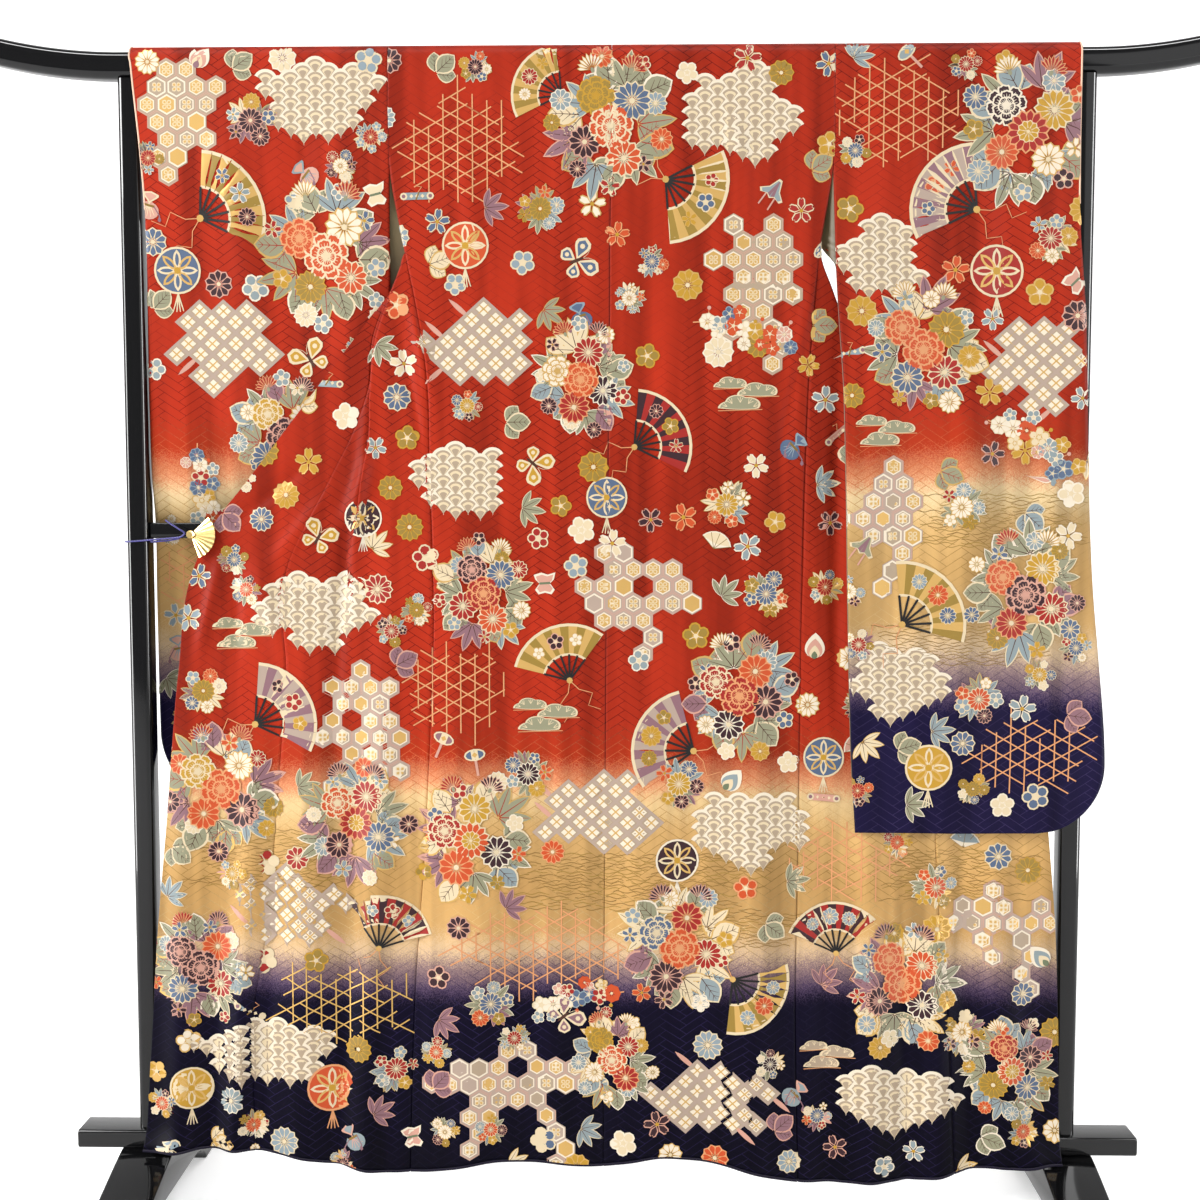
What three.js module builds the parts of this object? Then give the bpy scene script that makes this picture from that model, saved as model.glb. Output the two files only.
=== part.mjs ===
// A long-sleeved formal kimono (furisode) seen from its back, draped over a black lacquer kimono stand.
// Millimetres. +X is to the viewer's right, +Y runs away from the viewer, +Z is up.
// The origin is on the floor, in the middle of the stand.

import * as THREE from 'three';

// ---------------------------------------------------------------- driving sizes: the stand

const RAIL_TOP = 1713;
const RAIL_TALL = 39;
const RAIL_DEEP = 36;
const RAIL_ROUND = 12;
const RAIL_HALF = 920;
const RAIL_FLAT_HALF = 700;
const RAIL_END_RISE = 32;
const POST_CENTRE = 688;
const POST_WIDE = 32;
const POST_DEEP = 36;
const POST_BEVEL = 4;
const MID_RAIL_LOW = 1010;
const MID_RAIL_TALL = 23;
const MID_RAIL_DEEP = 21;
const LOW_RAIL_LOW = 90;
const LOW_RAIL_TOP = 117.6;
const LOW_RAIL_DEEP = 52;
const LOW_RAIL_HALF = 795;
const FOOT_WIDE = 80;
const FOOT_LONG = 460;
const FOOT_LEVEL = 26;
const FOOT_TIP = 34;
const FOOT_PAD = 90;
const FOOT_ARCH = 30;
const FOOT_SWEEP = 60;             // reach of the curves of a foot's outline
const FOOT_ARCH_START = 20;
const JOINT_GAP = 0.3;

// ---------------------------------------------------------------- driving sizes: the kimono

const CLOTH = 1.5;                 // silk, padding thread and lining together
const SEAM_GAP = 0.6;              // between two sewn edges
const INNER_LAYER = 3.3;           // front of the garment on the rail, middle of its wall
const OUTER_LAYER = 5.4;           // back of the garment on the rail, middle of its wall
const SHOULDER_DROP = 22;          // the shoulder fold hangs this far down the rail's far side
const NECK_HALF = 95;              // half the width of the neck opening
const NECK_CUT = 20;               // how deep the neck is cut into the back
const COLLAR_WIDE = 55;            // the collar, folded double
const FRONT_WIDTH = 235;           // cut width of a front panel at work, seam to seam
const PLEAT_STEP = 4.4;            // depth from one layer of a pleat to the next
const YOKE_SETBACK = 2.6;          // above the slit a front lies this far behind the back
const COLLAR_BEHIND = 2.3;         // from the last layer of the pleat to the collar
const SLIT_LEFT = 1414;            // the armhole slits start at these heights
const SLIT_RIGHT = 1430;
const LOWEST_SECTION = 60;         // the sections are not read below this
const SLEEVE_CORNER = 100;         // radius of the sleeve's rounded lower corner
const CUFF_LONG = 230;             // the open part of a sleeve's outer edge
const BAG_DEPTH = 12;              // how far the two sides of a sleeve stand apart
const FOOT_PUSH = 26;              // how far the feet hold the skirt's corners forward

// ---------------------------------------------------------------- sections of the kimono

// The back: height, and x of the left seam, the centre seam and the right seam.
const BACK_SECTIONS = [
  { z: 50, left: -291, mid: -1, right: 289 },
  { z: 353, left: -280, mid: 0, right: 283 },
  { z: 525, left: -267, mid: 1, right: 285 },
  { z: 697, left: -257, mid: 2, right: 286 },
  { z: 866, left: -250, mid: 3, right: 287 },
  { z: 1125, left: -254, mid: 6, right: 291 },
  { z: 1257, left: -258, mid: 7, right: 296 },
  { z: 1340, left: -271, mid: 8, right: 302 },
  { z: 1425, left: -288, mid: 8, right: 310 },
  { z: 1543, left: -309, mid: 10, right: 328 },
  { z: 1720, left: -310, mid: 11, right: 329 },
];

// A front panel and its overlap: height, pleat ridge, overlap seam and free edge, as distances
// from the middle of the garment, on the left and on the right.
const WING_SECTIONS = [
  { z: 50, ridge: 405, overlap: 524, edge: 692, rightOverlap: 523, rightEdge: 677 },
  { z: 347, ridge: 400, overlap: 518, edge: 670, rightOverlap: 504, rightEdge: 669 },
  { z: 427, ridge: 385, overlap: 503, edge: 664, rightOverlap: 495, rightEdge: 665 },
  { z: 606, ridge: 370, overlap: 486, edge: 646, rightOverlap: 484, rightEdge: 649 },
  { z: 820, ridge: 365, overlap: 469, edge: 626, rightOverlap: 470, rightEdge: 628 },
  { z: 969, ridge: 382, overlap: 466, edge: 603, rightOverlap: 466, rightEdge: 604 },
  { z: 1030, ridge: 364, overlap: 434, edge: 574, rightOverlap: 436, rightEdge: 574 },
  { z: 1095, ridge: 353, overlap: 402, edge: 523, rightOverlap: 408, rightEdge: 526 },
  { z: 1166, ridge: 342, overlap: 366, edge: 468, rightOverlap: 378, rightEdge: 473 },
  { z: 1227, ridge: 340, overlap: 344, edge: 421, rightOverlap: 358, rightEdge: 428 },
  { z: 1300, ridge: 332, overlap: 338, edge: 364, rightOverlap: 352, rightEdge: 374 },
  { z: 1370, ridge: 308, overlap: 308, edge: 310, rightOverlap: 318, rightEdge: 321 },
  { z: 1414, ridge: 292, overlap: 276, edge: 276, rightOverlap: 289, rightEdge: 289 },
  { z: 1500, ridge: 305, overlap: 209, edge: 209, rightOverlap: 225, rightEdge: 225 },
  { z: 1600, ridge: 309, overlap: 131, edge: 131, rightOverlap: 151, rightEdge: 151 },
  { z: 1660, ridge: 309, overlap: 84, edge: 84, rightOverlap: 106, rightEdge: 106 },
  { z: 1720, ridge: 309, overlap: 84, edge: 84, rightOverlap: 106, rightEdge: 106 },
];

// A sleeve: height, and x of its inner and outer edge as distances from the middle, with the
// depth y of its outer wall. The left one hangs behind the middle rail, the right one before all.
const LEFT_SLEEVE_SECTIONS = [
  { z: 615, inner: 318, outer: 664, y: 19 },
  { z: 760, inner: 317, outer: 664, y: 19 },
  { z: 920, inner: 316, outer: 663, y: 18 },
  { z: 1045, inner: 315, outer: 660, y: 14.5 },
  { z: 1090, inner: 315, outer: 660, y: 3 },
  { z: 1200, inner: 314, outer: 660, y: -3.5 },
  { z: 1310, inner: 313, outer: 658, y: -6 },
  { z: 1400, inner: 312, outer: 656, y: -8.5 },
  { z: 1470, inner: 311, outer: 655, y: -15.5 },
  { z: 1543, inner: 309, outer: 659, y: -23.8 },
  { z: 1674, inner: 310, outer: 676, y: -23.4 },
  { z: 1720, inner: 310, outer: 682, y: -23.4 },
];
const RIGHT_SLEEVE_SECTIONS = [
  { z: 582, inner: 367, outer: 727, y: -46 },
  { z: 697, inner: 359, outer: 725, y: -54 },
  { z: 840, inner: 354, outer: 712, y: -54 },
  { z: 920, inner: 352, outer: 704, y: -52 },
  { z: 1125, inner: 347, outer: 692, y: -50 },
  { z: 1235, inner: 343, outer: 689, y: -47 },
  { z: 1330, inner: 336, outer: 686, y: -42 },
  { z: 1400, inner: 332, outer: 682, y: -36 },
  { z: 1470, inner: 330, outer: 678, y: -29 },
  { z: 1543, inner: 328, outer: 678, y: -24 },
  { z: 1674, inner: 329, outer: 678, y: -23.4 },
  { z: 1720, inner: 329, outer: 678, y: -23.4 },
];

// The hem: x and height of the lower edge.
const HEM_SECTIONS = [
  { x: -700, z: 97 },
  { x: -520, z: 93 },
  { x: -290, z: 62 },
  { x: -160, z: 79 },
  { x: 0, z: 75 },
  { x: 80, z: 87 },
  { x: 165, z: 79 },
  { x: 290, z: 53 },
  { x: 340, z: 52 },
  { x: 485, z: 61 },
  { x: 560, z: 76 },
  { x: 620, z: 80 },
  { x: 660, z: 88 },
  { x: 700, z: 88 },
];

// Soft folds of the hanging skirt: x at the hem, x where the fold dies out, the height it reaches,
// its half width and how far it stands forward.
const SKIRT_FOLDS = [
  { low: -640, high: -610, top: 900, wide: 26, deep: 4 },
  { low: -572, high: -520, top: 760, wide: 20, deep: 5 },
  { low: -470, high: -440, top: 820, wide: 34, deep: -3 },
  { low: -400, high: -330, top: 1000, wide: 36, deep: 4 },
  { low: -330, high: -280, top: 1180, wide: 24, deep: -4 },
  { low: -205, high: -170, top: 1050, wide: 44, deep: 4 },
  { low: -90, high: -90, top: 800, wide: 34, deep: -3 },
  { low: 55, high: 60, top: 1150, wide: 36, deep: 3 },
  { low: 160, high: 140, top: 900, wide: 34, deep: -3 },
  { low: 235, high: 215, top: 1100, wide: 40, deep: 4 },
  { low: 345, high: 320, top: 1000, wide: 30, deep: -3 },
  { low: 430, high: 400, top: 1000, wide: 34, deep: 4 },
  { low: 540, high: 500, top: 760, wide: 20, deep: -3 },
  { low: 600, high: 560, top: 820, wide: 24, deep: 5 },
];

// ---------------------------------------------------------------- helpers

const smooth = (t) => {
  const c = Math.min(1, Math.max(0, t));
  return c * c * (3 - 2 * c);
};

const mix = (a, b, t) => a + (b - a) * t;

// Reads one named column of a table of sections, straight between its rows.
function column(rows, key, name, at) {
  if (at <= rows[0][key]) return rows[0][name];
  for (let i = 1; i < rows.length; i += 1) {
    if (at <= rows[i][key]) {
      const t = (at - rows[i - 1][key]) / (rows[i][key] - rows[i - 1][key]);
      return mix(rows[i - 1][name], rows[i][name], t);
    }
  }
  return rows[rows.length - 1][name];
}

const back = (name, z) => column(BACK_SECTIONS, 'z', name, z);
const wing = (name, z) => column(WING_SECTIONS, 'z', name, z);
const hemHeight = (x) => column(HEM_SECTIONS, 'x', 'z', x);

// A closed geometry from vertices and triangles, turned so that its faces point out.
function solid(points, triangles) {
  let volume = 0;
  for (const [a, b, c] of triangles) {
    volume += points[a].dot(new THREE.Vector3().crossVectors(points[b], points[c]));
  }
  const index = triangles.flatMap(([a, b, c]) => (volume > 0 ? [a, b, c] : [a, c, b]));
  const geometry = new THREE.BufferGeometry();
  geometry.setFromPoints(points);
  geometry.setIndex(index);
  geometry.computeVertexNormals();
  return geometry;
}

// A wall of even thickness around a grid of points, grid[row][col].
function sheet(grid, thickness = CLOTH) {
  const rows = grid.length;
  const cols = grid[0].length;
  const points = [];
  for (const side of [0.5, -0.5]) {
    for (let r = 0; r < rows; r += 1) {
      for (let c = 0; c < cols; c += 1) {
        const along = grid[Math.min(r + 1, rows - 1)][c].clone().sub(grid[Math.max(r - 1, 0)][c]);
        const across = grid[r][Math.min(c + 1, cols - 1)].clone().sub(grid[r][Math.max(c - 1, 0)]);
        const normal = across.cross(along).normalize();
        points.push(grid[r][c].clone().addScaledVector(normal, side * thickness));
      }
    }
  }
  const at = (side, r, c) => side * rows * cols + r * cols + c;
  const triangles = [];
  const quad = (a, b, c, d) => triangles.push([a, b, c], [a, c, d]);
  for (let r = 0; r < rows - 1; r += 1) {
    for (let c = 0; c < cols - 1; c += 1) {
      quad(at(0, r, c), at(0, r, c + 1), at(0, r + 1, c + 1), at(0, r + 1, c));
      quad(at(1, r, c), at(1, r + 1, c), at(1, r + 1, c + 1), at(1, r, c + 1));
    }
  }
  for (let c = 0; c < cols - 1; c += 1) {
    quad(at(1, 0, c), at(1, 0, c + 1), at(0, 0, c + 1), at(0, 0, c));
    quad(at(0, rows - 1, c), at(0, rows - 1, c + 1), at(1, rows - 1, c + 1), at(1, rows - 1, c));
  }
  for (let r = 0; r < rows - 1; r += 1) {
    quad(at(0, r, 0), at(0, r + 1, 0), at(1, r + 1, 0), at(1, r, 0));
    quad(at(1, r, cols - 1), at(1, r + 1, cols - 1), at(0, r + 1, cols - 1), at(0, r, cols - 1));
  }
  return solid(points, triangles);
}

// A point of the wall that lies over the top rail, s millimetres from the level of the rail's
// upper rounding on its far side. Negative s hangs down the far side.
function overRail(layer, s) {
  const radius = RAIL_ROUND + layer;
  const level = RAIL_TOP - RAIL_ROUND;
  const shelf = RAIL_DEEP / 2 - RAIL_ROUND;
  const arc = radius * Math.PI / 2;
  if (s <= 0) return { y: shelf + radius, z: level + s };
  if (s <= arc) return { y: shelf + radius * Math.cos(s / radius), z: level + radius * Math.sin(s / radius) };
  if (s <= arc + 2 * shelf) return { y: shelf - (s - arc), z: level + radius };
  const turn = (s - arc - 2 * shelf) / radius;
  if (turn <= Math.PI / 2) {
    return { y: -shelf - radius * Math.sin(turn), z: level + radius * Math.cos(turn) };
  }
  return { y: -shelf - radius, z: level - (turn - Math.PI / 2) * radius };
}

// Distances s along the rail's rounding for the rows of a wall, from the far side to the front.
function railRows(layer, start) {
  const arc = (RAIL_ROUND + layer) * Math.PI / 2;
  const shelf = RAIL_DEEP - 2 * RAIL_ROUND;
  return [start, arc / 2, arc, arc + shelf, arc * 1.5 + shelf, arc * 2 + shelf];
}

const SHOULDER_S = -(SHOULDER_DROP - RAIL_ROUND);

// Depth of the hanging back, before its folds: plumb from the rail, then easing forward.
const backDepth = (z) => {
  const fall = Math.max(0, RAIL_TOP - RAIL_TALL - z) / (RAIL_TOP - RAIL_TALL);
  return -(RAIL_DEEP / 2 + OUTER_LAYER) - 10.6 * fall ** 1.2;
};

// How far the soft folds, and the feet under its corners, move the skirt at a point.
function skirtFold(x, z) {
  let move = -FOOT_PUSH * smooth((135 - z) / 70) * smooth((Math.abs(x) - 600) / 45);
  for (const fold of SKIRT_FOLDS) {
    const rise = z / fold.top;
    if (rise < 1) {
      const centre = mix(fold.low, fold.high, rise);
      const off = (x - centre) / fold.wide;
      move -= fold.deep * Math.exp(-off * off) * smooth((1 - rise) * 1.6);
    }
  }
  return move;
}

// Heights of the rows that every seam of the skirt shares, from the hem up.
const SKIRT_ROWS = [0, 160, 300, 440, 580, 720, 850, 930, 985, 1035, 1095, 1160, 1227, 1300, 1360];
const YOKE_ROWS = [1480, 1543, 1600, 1640, 1674];

const heightAt = (row, x) => (row === 0 ? hemHeight(x) : row);

// ---------------------------------------------------------------- the back

// One half of the back, from the neck on the rail's far side down to the hem.
function backPanel(side) {
  const steps = 9;
  const grid = [];
  const slit = side < 0 ? SLIT_LEFT : SLIT_RIGHT;
  const outer = (z) => back(side < 0 ? 'left' : 'right', z) - side * SEAM_GAP / 2;
  const inner = (z) => back('mid', z) + side * SEAM_GAP / 2;
  for (const s of railRows(OUTER_LAYER, SHOULDER_S)) {
    const line = [];
    for (let c = 0; c <= steps; c += 1) {
      const x = mix(inner(RAIL_TOP), outer(RAIL_TOP), c / steps);
      const across = Math.min(1, Math.abs(x - back('mid', RAIL_TOP)) / NECK_HALF);
      const neck = NECK_CUT * Math.sqrt(1 - across * across);
      const place = overRail(OUTER_LAYER, s === SHOULDER_S ? SHOULDER_S + neck : Math.max(s, SHOULDER_S + neck + 3));
      line.push(new THREE.Vector3(x, place.y, place.z));
    }
    grid.push(line);
  }
  const rows = [...SKIRT_ROWS, slit, ...YOKE_ROWS].reverse();
  for (const row of rows) {
    const line = [];
    for (let c = 0; c <= steps; c += 1) {
      const guess = mix(inner(row), outer(row), c / steps);
      const z = heightAt(row, guess);
      const x = mix(inner(z), outer(z), c / steps);
      line.push(new THREE.Vector3(x, backDepth(z) + skirtFold(x, z), z));
    }
    grid.push(line);
  }
  return sheet(grid);
}

// ---------------------------------------------------------------- fronts

// Wing columns are kept as distances from the middle, so one reading serves both sides.
function wingLine(side, z) {
  const right = side > 0;
  return {
    seam: Math.abs(back(right ? 'right' : 'left', z)),
    ridge: wing('ridge', z) + (right ? 20 : 0),
    overlap: wing(right ? 'rightOverlap' : 'overlap', z),
    edge: wing(right ? 'rightEdge' : 'edge', z),
  };
}

// Segments of a front panel across its pleat: before the ridge, under it, and beyond it.
const RUN_BEFORE = 4;
const RUN_UNDER = 2;
const RUN_BEYOND = 5;
const TURN_ANGLES = [45, 90, 135].map((turn) => turn * Math.PI / 180);
const FRONT_COLUMNS = RUN_BEFORE + RUN_UNDER + RUN_BEYOND + 2 * (TURN_ANGLES.length + 1);

// The cross-section of a front panel at one height, from the side seam to its other edge, as
// points { x, y } with x the distance from the middle. It holds a pleat of three layers, which
// opens into flat cloth below the clipped corner and into two layers above the armhole slit.
function frontSection(side, z, slit) {
  const line = wingLine(side, z);
  const above = z > slit + 15;
  const base = backDepth(z) + (z > slit + 5 ? YOKE_SETBACK : 0);
  const round = PLEAT_STEP / 2;
  const start = line.seam + SEAM_GAP / 2;
  const hidden = above ? line.seam + line.overlap : 2 * line.ridge - line.seam + line.overlap;
  const turnIn = (hidden - FRONT_WIDTH) / 2 + round;
  const ridge = line.ridge - round;
  const points = [];
  const run = (from, to, count, y) => {
    for (let i = 0; i <= count; i += 1) points.push({ x: mix(from, to, i / count), y });
  };
  if (above) {
    run(start, turnIn, RUN_BEFORE + RUN_UNDER + TURN_ANGLES.length + 1, base + 2 * round);
  } else {
    run(start, ridge, RUN_BEFORE, base);
    for (const a of TURN_ANGLES) points.push({ x: ridge + round * Math.sin(a), y: base + round * (1 - Math.cos(a)) });
    run(ridge, turnIn, RUN_UNDER, base + 2 * round);
  }
  for (const a of TURN_ANGLES) points.push({ x: turnIn - round * Math.sin(a), y: base + round * (3 - Math.cos(a)) });
  run(turnIn, line.overlap - SEAM_GAP / 2, RUN_BEYOND, base + 4 * round);
  return points;
}

// Depth of a wing away from its pleat: level with the back low down, behind it near the corner.
const wingDepth = (z) => backDepth(z) + 2 * PLEAT_STEP * smooth((z - 860) / 130);

// One front panel, from the shoulder fold over the rail, behind the back and out to the side.
function frontPanel(side) {
  const slit = side < 0 ? SLIT_LEFT : SLIT_RIGHT;
  const grid = [];
  const columns = FRONT_COLUMNS;
  for (const s of railRows(INNER_LAYER, SHOULDER_S)) {
    const place = overRail(INNER_LAYER, s);
    const line = wingLine(side, RAIL_TOP);
    const row = [];
    for (let c = 0; c <= columns; c += 1) {
      const x = mix(line.seam - SEAM_GAP / 2, line.overlap + SEAM_GAP / 2, c / columns);
      row.push(new THREE.Vector3(side * x, place.y, place.z));
    }
    grid.push(row);
  }
  const rows = [...SKIRT_ROWS, slit - 8, slit, slit + 9, slit + 25, ...YOKE_ROWS].reverse();
  for (const level of rows) {
    const row = [];
    const folded = frontSection(side, Math.max(level, LOWEST_SECTION), slit);
    const opened = smooth((990 - level) / 90);
    const flat = smooth((level - 1560) / 90);
    for (let c = 0; c <= columns; c += 1) {
      const t = c / columns;
      const pleat = folded[c];
      if (level > 1500) {
        const line = wingLine(side, level);
        const x = mix(line.seam - SEAM_GAP / 2, line.overlap + SEAM_GAP / 2, t);
        const y = backDepth(level) + OUTER_LAYER - INNER_LAYER;
        const lead = smooth(flat * 2 - 1);
        row.push(new THREE.Vector3(side * mix(pleat.x, x, flat), mix(pleat.y, y, lead), level));
      } else {
        const rough = wingLine(side, Math.max(level, LOWEST_SECTION));
        const z = heightAt(level, side * mix(rough.seam, rough.overlap, t));
        const line = wingLine(side, z);
        const reach = mix(line.seam + SEAM_GAP / 2, line.overlap - SEAM_GAP / 2, t);
        const x = mix(pleat.x, reach, opened);
        const open = mix(backDepth(z), wingDepth(z), smooth(t * 3));
        const y = mix(pleat.y, open, smooth(opened * 2 - 1));
        row.push(new THREE.Vector3(side * x, y + skirtFold(side * x, z), z));
      }
    }
    grid.push(row);
  }
  return sheet(grid);
}

// The overlap strip sewn to a front's free edge. It ends in a point under the collar.
function overlapPanel(side) {
  const steps = 6;
  const grid = [];
  const rows = SKIRT_ROWS.filter((z) => z <= 1300).concat([1340]).reverse();
  for (const level of rows) {
    const row = [];
    for (let c = 0; c <= steps; c += 1) {
      const rough = wingLine(side, Math.max(level, LOWEST_SECTION));
      const z = heightAt(level, side * mix(rough.overlap, rough.edge, c / steps));
      const line = wingLine(side, z);
      const near = line.overlap + SEAM_GAP / 2;
      const x = mix(near, Math.max(line.edge, near + 6), c / steps);
      row.push(new THREE.Vector3(side * x, wingDepth(z) + skirtFold(side * x, z), z));
    }
    grid.push(row);
  }
  return sheet(grid);
}

// ---------------------------------------------------------------- collar

// The part of the collar around the back of the neck, hanging down the rail's far side.
function collarBack() {
  const steps = 12;
  const grid = [];
  for (let r = 0; r <= 3; r += 1) {
    const row = [];
    for (let c = 0; c <= steps; c += 1) {
      const across = mix(-1, 1, c / steps);
      const neck = NECK_CUT * Math.sqrt(1 - across * across);
      const s = SHOULDER_S + neck - 2 * SEAM_GAP - COLLAR_WIDE * r / 3;
      const place = overRail(OUTER_LAYER + SEAM_GAP, s);
      row.push(new THREE.Vector3(back('mid', RAIL_TOP) + across * (NECK_HALF - 1), place.y, place.z));
    }
    grid.push(row);
  }
  return sheet(grid, 2);
}

// The rest of the collar, from the neck over the rail and down behind the front's slanting edge.
function collarFront(side) {
  const steps = 3;
  const grid = [];
  for (const s of railRows(INNER_LAYER, SHOULDER_S)) {
    const place = overRail(INNER_LAYER, s);
    const edge = wingLine(side, RAIL_TOP).edge;
    const row = [];
    for (let c = 0; c <= steps; c += 1) {
      row.push(new THREE.Vector3(side * (edge - 0.5 - (COLLAR_WIDE - 6) * c / steps), place.y, place.z));
    }
    grid.push(row);
  }
  for (const z of [1674, 1645, 1600, 1540, 1480, 1420, 1360, 1300, 1227, 1160, 1095, 1048]) {
    const line = wingLine(side, z);
    const slant = mix(COLLAR_WIDE - 6, COLLAR_WIDE * 1.27, smooth((1674 - z) / 60));
    const settled = YOKE_SETBACK + 2 * PLEAT_STEP + COLLAR_BEHIND;
    const behind = mix(OUTER_LAYER - INNER_LAYER, settled, smooth((1674 - z) / 70));
    const row = [];
    for (let c = 0; c <= steps; c += 1) {
      row.push(new THREE.Vector3(side * (line.edge - 0.5 - slant * c / steps), backDepth(z) + behind, z));
    }
    grid.push(row);
  }
  return sheet(grid);
}

// ---------------------------------------------------------------- sleeves

// Space between the two walls of a sleeve at a height: thin on the rail and at the sewn bottom.
function bagSpace(z, bottom) {
  const top = OUTER_LAYER - INNER_LAYER;
  return mix(top, BAG_DEPTH, smooth((1560 - z) / 300)) * mix(0.25, 1, smooth((z - bottom) / 90));
}

// One wall of a sleeve. The outer wall is the one on the garment's back, and it turns round the
// sewn outer edge below the cuff. The inner wall stops short of that turn.
function sleeveWall(side, outerWall) {
  const table = side < 0 ? LEFT_SLEEVE_SECTIONS : RIGHT_SLEEVE_SECTIONS;
  const bottom = table[0].z;
  const read = (name, z) => column(table, 'z', name, z);
  const layer = outerWall ? OUTER_LAYER : INNER_LAYER;
  const cuffEnd = RAIL_TOP - CUFF_LONG;
  const steps = 8;
  const turns = outerWall ? [40, 80, 120] : [];
  const grid = [];
  for (const s of railRows(layer, SHOULDER_S)) {
    const place = overRail(layer, s);
    const row = [];
    const near = read('inner', RAIL_TOP) + SEAM_GAP / 2;
    const far = read('outer', RAIL_TOP);
    for (let c = 0; c <= steps + turns.length; c += 1) {
      row.push(new THREE.Vector3(side * mix(near, far, c / (steps + turns.length)), place.y, place.z));
    }
    grid.push(row);
  }
  const curve = [0, 12, 38, 78].map((rise) => bottom + rise);
  const rows = [...curve, ...[720, 840, 960, 1040, 1092, 1160, 1240, 1320, 1400, 1460, 1543, 1674]
    .filter((z) => z > bottom + 100)].reverse();
  for (const z of rows) {
    const space = bagSpace(z, bottom);
    const rise = Math.min(SLEEVE_CORNER, z - bottom);
    const cut = SLEEVE_CORNER - Math.sqrt(SLEEVE_CORNER ** 2 - (SLEEVE_CORNER - rise) ** 2);
    const near = read('inner', z) + SEAM_GAP / 2;
    const half = space / 2;
    const far = read('outer', z) - cut - half;
    const depth = read('y', z);
    const wrap = smooth((cuffEnd - z) / 40);
    const row = [];
    const wave = (x) => 1.6 * Math.sin((x - near) / 58 + z / 260) * smooth((1640 - z) / 300);
    for (let c = 0; c <= steps; c += 1) {
      const x = mix(near, outerWall ? far : far - 2.5, c / steps);
      row.push(new THREE.Vector3(side * x, depth + (outerWall ? 0 : space) + wave(x), z));
    }
    for (const turn of turns) {
      const a = turn * Math.PI / 180 * wrap;
      const spread = half * (1 - wrap) * turn / 120;
      const x = far + half * Math.sin(a) + spread;
      row.push(new THREE.Vector3(side * x, depth + half * (1 - Math.cos(a)) + wave(far), z));
    }
    grid.push(row);
  }
  return sheet(grid);
}

// ---------------------------------------------------------------- the stand

// A rectangle from one corner to the opposite one, with its four corners cut off.
function bevelled(x0, y0, x1, y1, cut) {
  return new THREE.Shape([
    new THREE.Vector2(x0 + cut, y0), new THREE.Vector2(x1 - cut, y0),
    new THREE.Vector2(x1, y0 + cut), new THREE.Vector2(x1, y1 - cut),
    new THREE.Vector2(x1 - cut, y1), new THREE.Vector2(x0 + cut, y1),
    new THREE.Vector2(x0, y1 - cut), new THREE.Vector2(x0, y0 + cut),
  ]);
}

// A closed bar through rings of equal point count, with a flat cap at each end.
function bar(rings) {
  const count = rings[0].length;
  const points = rings.flat();
  const triangles = [];
  for (let r = 0; r < rings.length - 1; r += 1) {
    for (let i = 0; i < count; i += 1) {
      const a = r * count + i;
      const b = r * count + (i + 1) % count;
      triangles.push([a, b, b + count], [a, b + count, a + count]);
    }
  }
  const last = (rings.length - 1) * count;
  for (let i = 1; i < count - 1; i += 1) {
    triangles.push([0, i + 1, i], [last, last + i, last + i + 1]);
  }
  return solid(points, triangles);
}

// The top rail: level between the posts, its ends rising in a curve, with rounded long edges.
function topRail() {
  const rings = [];
  const stations = [];
  for (let i = 0; i <= 8; i += 1) stations.push(mix(RAIL_FLAT_HALF, RAIL_HALF - 8, i / 8));
  const along = [...stations.map((x) => -x).reverse(), ...stations];
  const ends = [[-RAIL_HALF, 0.62], ...along.map((x) => [x, 1]), [RAIL_HALF, 0.62]];
  for (const [x, size] of ends) {
    const out = Math.max(0, Math.abs(x) - RAIL_FLAT_HALF) / (RAIL_HALF - RAIL_FLAT_HALF);
    const lift = RAIL_END_RISE * out * out;
    const middle = RAIL_TOP - RAIL_TALL / 2 + lift;
    const ring = [];
    for (const [cy, cz, from] of [[1, 1, 0], [-1, 1, 90], [-1, -1, 180], [1, -1, 270]]) {
      for (const turn of [0, 30, 60, 90]) {
        const a = (from + turn) * Math.PI / 180;
        const y = cy * (RAIL_DEEP / 2 - RAIL_ROUND) + RAIL_ROUND * Math.cos(a);
        const z = cz * (RAIL_TALL / 2 - RAIL_ROUND) + RAIL_ROUND * Math.sin(a);
        ring.push(new THREE.Vector3(x, y * size, middle + z * size));
      }
    }
    rings.push(ring);
  }
  return bar(rings);
}

function post() {
  const low = LOW_RAIL_TOP + JOINT_GAP;
  const tall = RAIL_TOP - RAIL_TALL - JOINT_GAP - low;
  const outline = bevelled(-POST_WIDE / 2, -POST_DEEP / 2, POST_WIDE / 2, POST_DEEP / 2, POST_BEVEL);
  const geometry = new THREE.ExtrudeGeometry(outline, { depth: tall, bevelEnabled: false });
  geometry.translate(0, 0, low);
  return geometry;
}

// A level rail along x, with a bevelled section.
function levelRail(half, deep, low, top, cut) {
  const outline = bevelled(-deep / 2, low, deep / 2, top, cut);
  const geometry = new THREE.ExtrudeGeometry(outline, { depth: 2 * half, bevelEnabled: false });
  geometry.rotateX(Math.PI / 2);
  geometry.rotateZ(Math.PI / 2);
  geometry.translate(-half, 0, 0);
  return geometry;
}

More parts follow.
